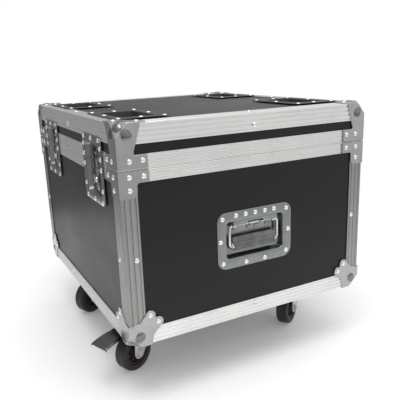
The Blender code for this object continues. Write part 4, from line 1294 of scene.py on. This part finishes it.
CASTOR_PLATE = castor_plate_mesh()
for corner in CORNERS:
    mesh, node = CASTOR_PLATE.copy(), f"castor_plate_{corner}"
    place = Matrix.Translation(joints[f"{corner}_swivel"]["pos_m"])
    make_piece(f"bolted_plate_{corner}", mesh, ZINC, "case_base", place, [node], 30)
print("bolted on four plates")

# %% [markdown]
# ## Brake pedals
# Two of the castors have a brake: a wide curved tread on two arms that pivot on the fork. The tread is bent
# in an arc, ribbed so that a shoe grips it, and folded down at its end. A grid bent by a formula gives the
# arc, the ribs and the fold in one mesh, and a Solidify modifier makes it sheet metal.

# %% Brake pedals
TREAD_START, TREAD, TREAD_HALF, TREAD_PITCH = 25, 59, 21.5, 4.4


def tread_height(t, side):
    """Height of the tread in millimetres, at a share t of its length and side from -1 to 1."""
    bow = 3.6 - 3.4 * t * t + 2.0 * math.sin(math.pi * min(1, t * 1.15))
    folded_down = 3.2 * max(0, t - 0.93) / 0.07 + 2.6 * max(0, abs(side) - 0.86) / 0.14
    ribbed = abs(side) < 0.72 and 0.32 < t < 0.90
    rib = 0.35 * max(0, math.sin(math.tau * t * TREAD / TREAD_PITCH)) * ribbed
    return bow - folded_down + rib


def tread_mesh(along=56, across=18):
    bm = bmesh.new()
    rows = []
    for i in range(along + 1):
        t = i / along
        waist = TREAD_HALF * (1 - 0.16 * math.exp(-((t - 0.05) / 0.16) ** 2))
        sides = [2 * j / across - 1 for j in range(across + 1)]
        places = [(TREAD_START + t * TREAD, side * waist, tread_height(t, side)) for side in sides]
        rows.append([bm.verts.new(place) for place in mm(*places)])
    for here, there in zip(rows, rows[1:]):
        for j in range(across):
            bm.faces.new((here[j], there[j], there[j + 1], here[j + 1]))
    mesh = bpy.data.meshes.new("tread")
    bm.to_mesh(mesh)
    bm.free()
    return modified(mesh, ("SOLIDIFY", {"thickness": 1.4 * MM, "offset": -1.0}))


def pedal_mesh():
    inner = FORK_INNER + FORK_SHEET + 1 * MM
    outer = inner + 1.9 * MM
    outline = mm((5, 5.4), (-3, 5.4)) + arc((0, 0), 6 * MM, 130, 250, 8)
    outline += mm((10, -5), (30, -3.4), (42, 0.6), (42, 3), (24, 5))
    parts = []
    for side in (-1, 1):
        low, high = sorted((-side * inner, -side * outer))
        parts.append((plate([outline], low, high, 0.4 * MM), spin(90, "X")))
        parts.append((collar(4.6, 2.9, 0, 0.9, 24), shift(y=side * outer) @ spin(-90 * side, "X")))
    reach = outer + 0.5 * MM
    pin = wire([(0, -reach, 0), (0, reach, 0)], 2.4 * MM)
    return joined(tread_mesh(), pin, *parts)


PEDAL = pedal_mesh()
for corner in CORNERS:
    if f"{corner}_brake" in joints:
        place = castor_frame(corner, joints[f"{corner}_brake"]["pos_m"])
        body, node = f"pedal_{corner}", f"brake_pedal_{corner}"
        make_piece(body, PEDAL.copy(), PEDAL_STEEL, body, place, [node], 35)
print("a pedal has", len(PEDAL.polygons), "faces")

# %% [markdown]
# ## Loose rivets and the foam
# A few more rivets hold the middle of each long edge. Inside, a foam pad lies on the floor, under the load.
# Foam is cut, not moulded: its sides stay upright, but its edges sag and its top is never quite flat, so
# a fine grid is lifted by two slow waves and its rim is pulled down.

# %% Edge rivets and the foam pad
FROM_EDGE, TOP_INSET, HALF_UP = 21.5 * MM, 18 * MM, 153 * MM
END_RIVETS, SIDE_RIVETS = [(0, 23)], [(-84, 17), (68, 17)]
LOW_RIVETS = {"front": END_RIVETS, "back": END_RIVETS, "left": SIDE_RIVETS, "right": SIDE_RIVETS}
for face, low_rivets in LOW_RIVETS.items():
    half = HALF_WIDTH if face in ENDS else HALF_DEPTH
    places = [(x * MM, FLOOR + y * MM, 0) for x, y in low_rivets]
    places += [(side * (half - FROM_EDGE), FLOOR + HALF_UP, 0) for side in (-1, 1)]
    rivets(f"edge_rivets_{face}", "case_base", at(face_frame(face), *places))
    rivets(f"lid_edge_rivets_{face}", "lid", at(face_frame(face), (0, LID_TOP - FROM_EDGE, 0)))
top_rivets = [(0, side * (HALF_DEPTH - TOP_INSET), 0) for side in (-1, 1)]
top_rivets += [(side * (HALF_WIDTH - TOP_INSET), 0, 0) for side in (-1, 1)]
rivets("lid_top_rivets", "lid", at(face_frame("top"), *top_rivets))


def foam_mesh(low, high, cells=56):
    """The pad's box as a grid, with a soft top and rounded, slightly sagging edges."""
    bm = bmesh.new()
    centre, size = (low + high) / 2, high - low
    bmesh.ops.create_cube(bm, size=1.0)
    level = [e for e in bm.edges if abs((e.verts[0].co - e.verts[1].co).z) < 0.5]
    bmesh.ops.subdivide_edges(bm, edges=level, cuts=cells, use_grid_fill=True)
    for v in bm.verts:
        x, y, z = v.co
        if z > 0:
            rim = max(abs(x), abs(y)) * 2
            z *= 1 - 0.16 * max(0.0, (rim - 0.93) / 0.07) ** 2
            x, y = (x * 0.997, y * 0.997) if rim > 0.999 else (x, y)
            wave = 0.5 * MM * (math.sin(9 * x + 1) * math.cos(7 * y) - 1) * (rim < 0.98)
        else:
            wave = 0.0
        v.co = centre + Vector((x * size.x, y * size.y, z * size.z + wave))
    return mesh_of(bm)


pad_mesh = foam_mesh(*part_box("foam_floor_pad"))
pad = make_piece("foam_pad", pad_mesh, FOAM, "case_base", None, ["foam_floor_pad"], 50)
print("the foam pad has", len(pad.data.polygons), "faces")

# %% [markdown]
# ## Hinge rivets
# Each hinge leaf is held by three rivets, on the right side.

# %% Hinge rivets
for end in ENDS:
    hinge = face_frame("right", middle(f"hinge_base_leaf_{end}").y, PARTING)
    for leaf, body, height in (("base", "case_base", -19), ("lid", "lid", 19)):
        row = spots([(x, height) for x in (-20, 0, 20)], GAP + SKIN)
        rivets(f"hinge_{leaf}_rivets_{end}", body, at(hinge, *row))
print("hinge leaves are riveted")

# %% [markdown]
# ## Light and camera
# The case stands on a small white table in a dim room, under a bright softbox. Metal shows little but what
# it reflects, so the softbox is a gradient in the world, brightest above and to the front right. The front
# edging then turns nearly white, while the left stays grey. A lamp for each highlight would take longer to
# balance. Beyond the table the panels reflect the dim room, which shades them darker towards the top. The
# camera alone sees a white backdrop. Its tilt is three angles, because a target cannot hold its slight roll.

# %% Floor, lamps and camera
floor_mesh = flat_sheet(rounded_rectangle(2.2, 2.2, 1.0), -0.02, 0.0)
ground = Finish("pale_paper", Emission_Color=(1, 1, 1, 1), Emission_Strength=0.12)
speckle = ground.noise(30, 3)
paper = ground.tint(speckle, (0.93, 0.93, 0.93), (0.88, 0.88, 0.88))
floor_mesh.materials.append(ground.wear(paper, 0.8 + speckle * 0.1))
studio_floor = bpy.data.objects.new("studio_floor", floor_mesh)
bpy.context.scene.collection.objects.link(studio_floor)


class Sky(Finish):
    """The world's own nodes, with the same sums as a material."""

    def __init__(self, name):
        self.world = bpy.data.worlds.new(name)
        self.world.use_nodes = True
        self.tree = self.world.node_tree
        self.shader = self.tree.nodes["Background"]


SOFTBOX, ROOM = 1.0, 0.30
SOFTBOX_SIDE = (0.45, -0.35, 0.82)
sky = Sky("studio")
inputs = {0: sky.node("ShaderNodeTexCoord"), 1: SOFTBOX_SIDE}
towards_it = sky.node("ShaderNodeVectorMath", {"operation": "DOT_PRODUCT"}, inputs, output="Value")
softbox = sky.ramp(towards_it * 0.5 + 0.5, (0.42, ROOM), (0.80, SOFTBOX))
seen = sky.node("ShaderNodeLightPath", output="Is Camera Ray")
sky.feed(sky.shader.inputs["Color"], sky.tint(seen, softbox, (1.0, 1.0, 1.0)))
bpy.context.scene.world = sky.world
bpy.context.scene.view_settings.view_transform = "Standard"


def lamp(name, place, target, size, watts):
    data = bpy.data.lights.new(name, "AREA")
    data.shape, data.size, data.energy = "DISK", size, watts
    made = bpy.data.objects.new(name, data)
    bpy.context.scene.collection.objects.link(made)
    aim = (Vector(target) - Vector(place)).to_track_quat("-Z", "Y")
    made.matrix_world = Matrix.Translation(place) @ aim.to_matrix().to_4x4()


lamp("overhead", (-0.3, -0.5, 2.2), (0, 0, 0.3), 1.6, 22)
lamp("left_wall", (-2.2, 0.2, 0.9), (0, 0, 0.3), 1.4, 1.5)

CAMERA_PLACE, LENS, SENSOR = (-0.5006, -1.0219, 0.5724), 47.05, 36
YAW, PITCH, ROLL = (math.radians(degrees) for degrees in (27.5776, -14.7933, -2.1037))
right = Vector((math.cos(YAW), -math.sin(YAW), 0))
forward = Vector((math.sin(YAW) * math.cos(PITCH), math.cos(YAW) * math.cos(PITCH), math.sin(PITCH)))
up = right.cross(forward)
rolled_right = math.cos(ROLL) * right + math.sin(ROLL) * up
rolled_up = -math.sin(ROLL) * right + math.cos(ROLL) * up
lens = bpy.data.cameras.new("camera")
lens.lens, lens.sensor_width = LENS, SENSOR
camera = bpy.data.objects.new("camera", lens)
bpy.context.scene.collection.objects.link(camera)
turned_to_case = Matrix((rolled_right, rolled_up, -forward)).transposed().to_4x4()
camera.matrix_world = shift(*CAMERA_PLACE) @ turned_to_case
bpy.context.scene.camera = camera
print("placed the floor, two lamps and the camera")
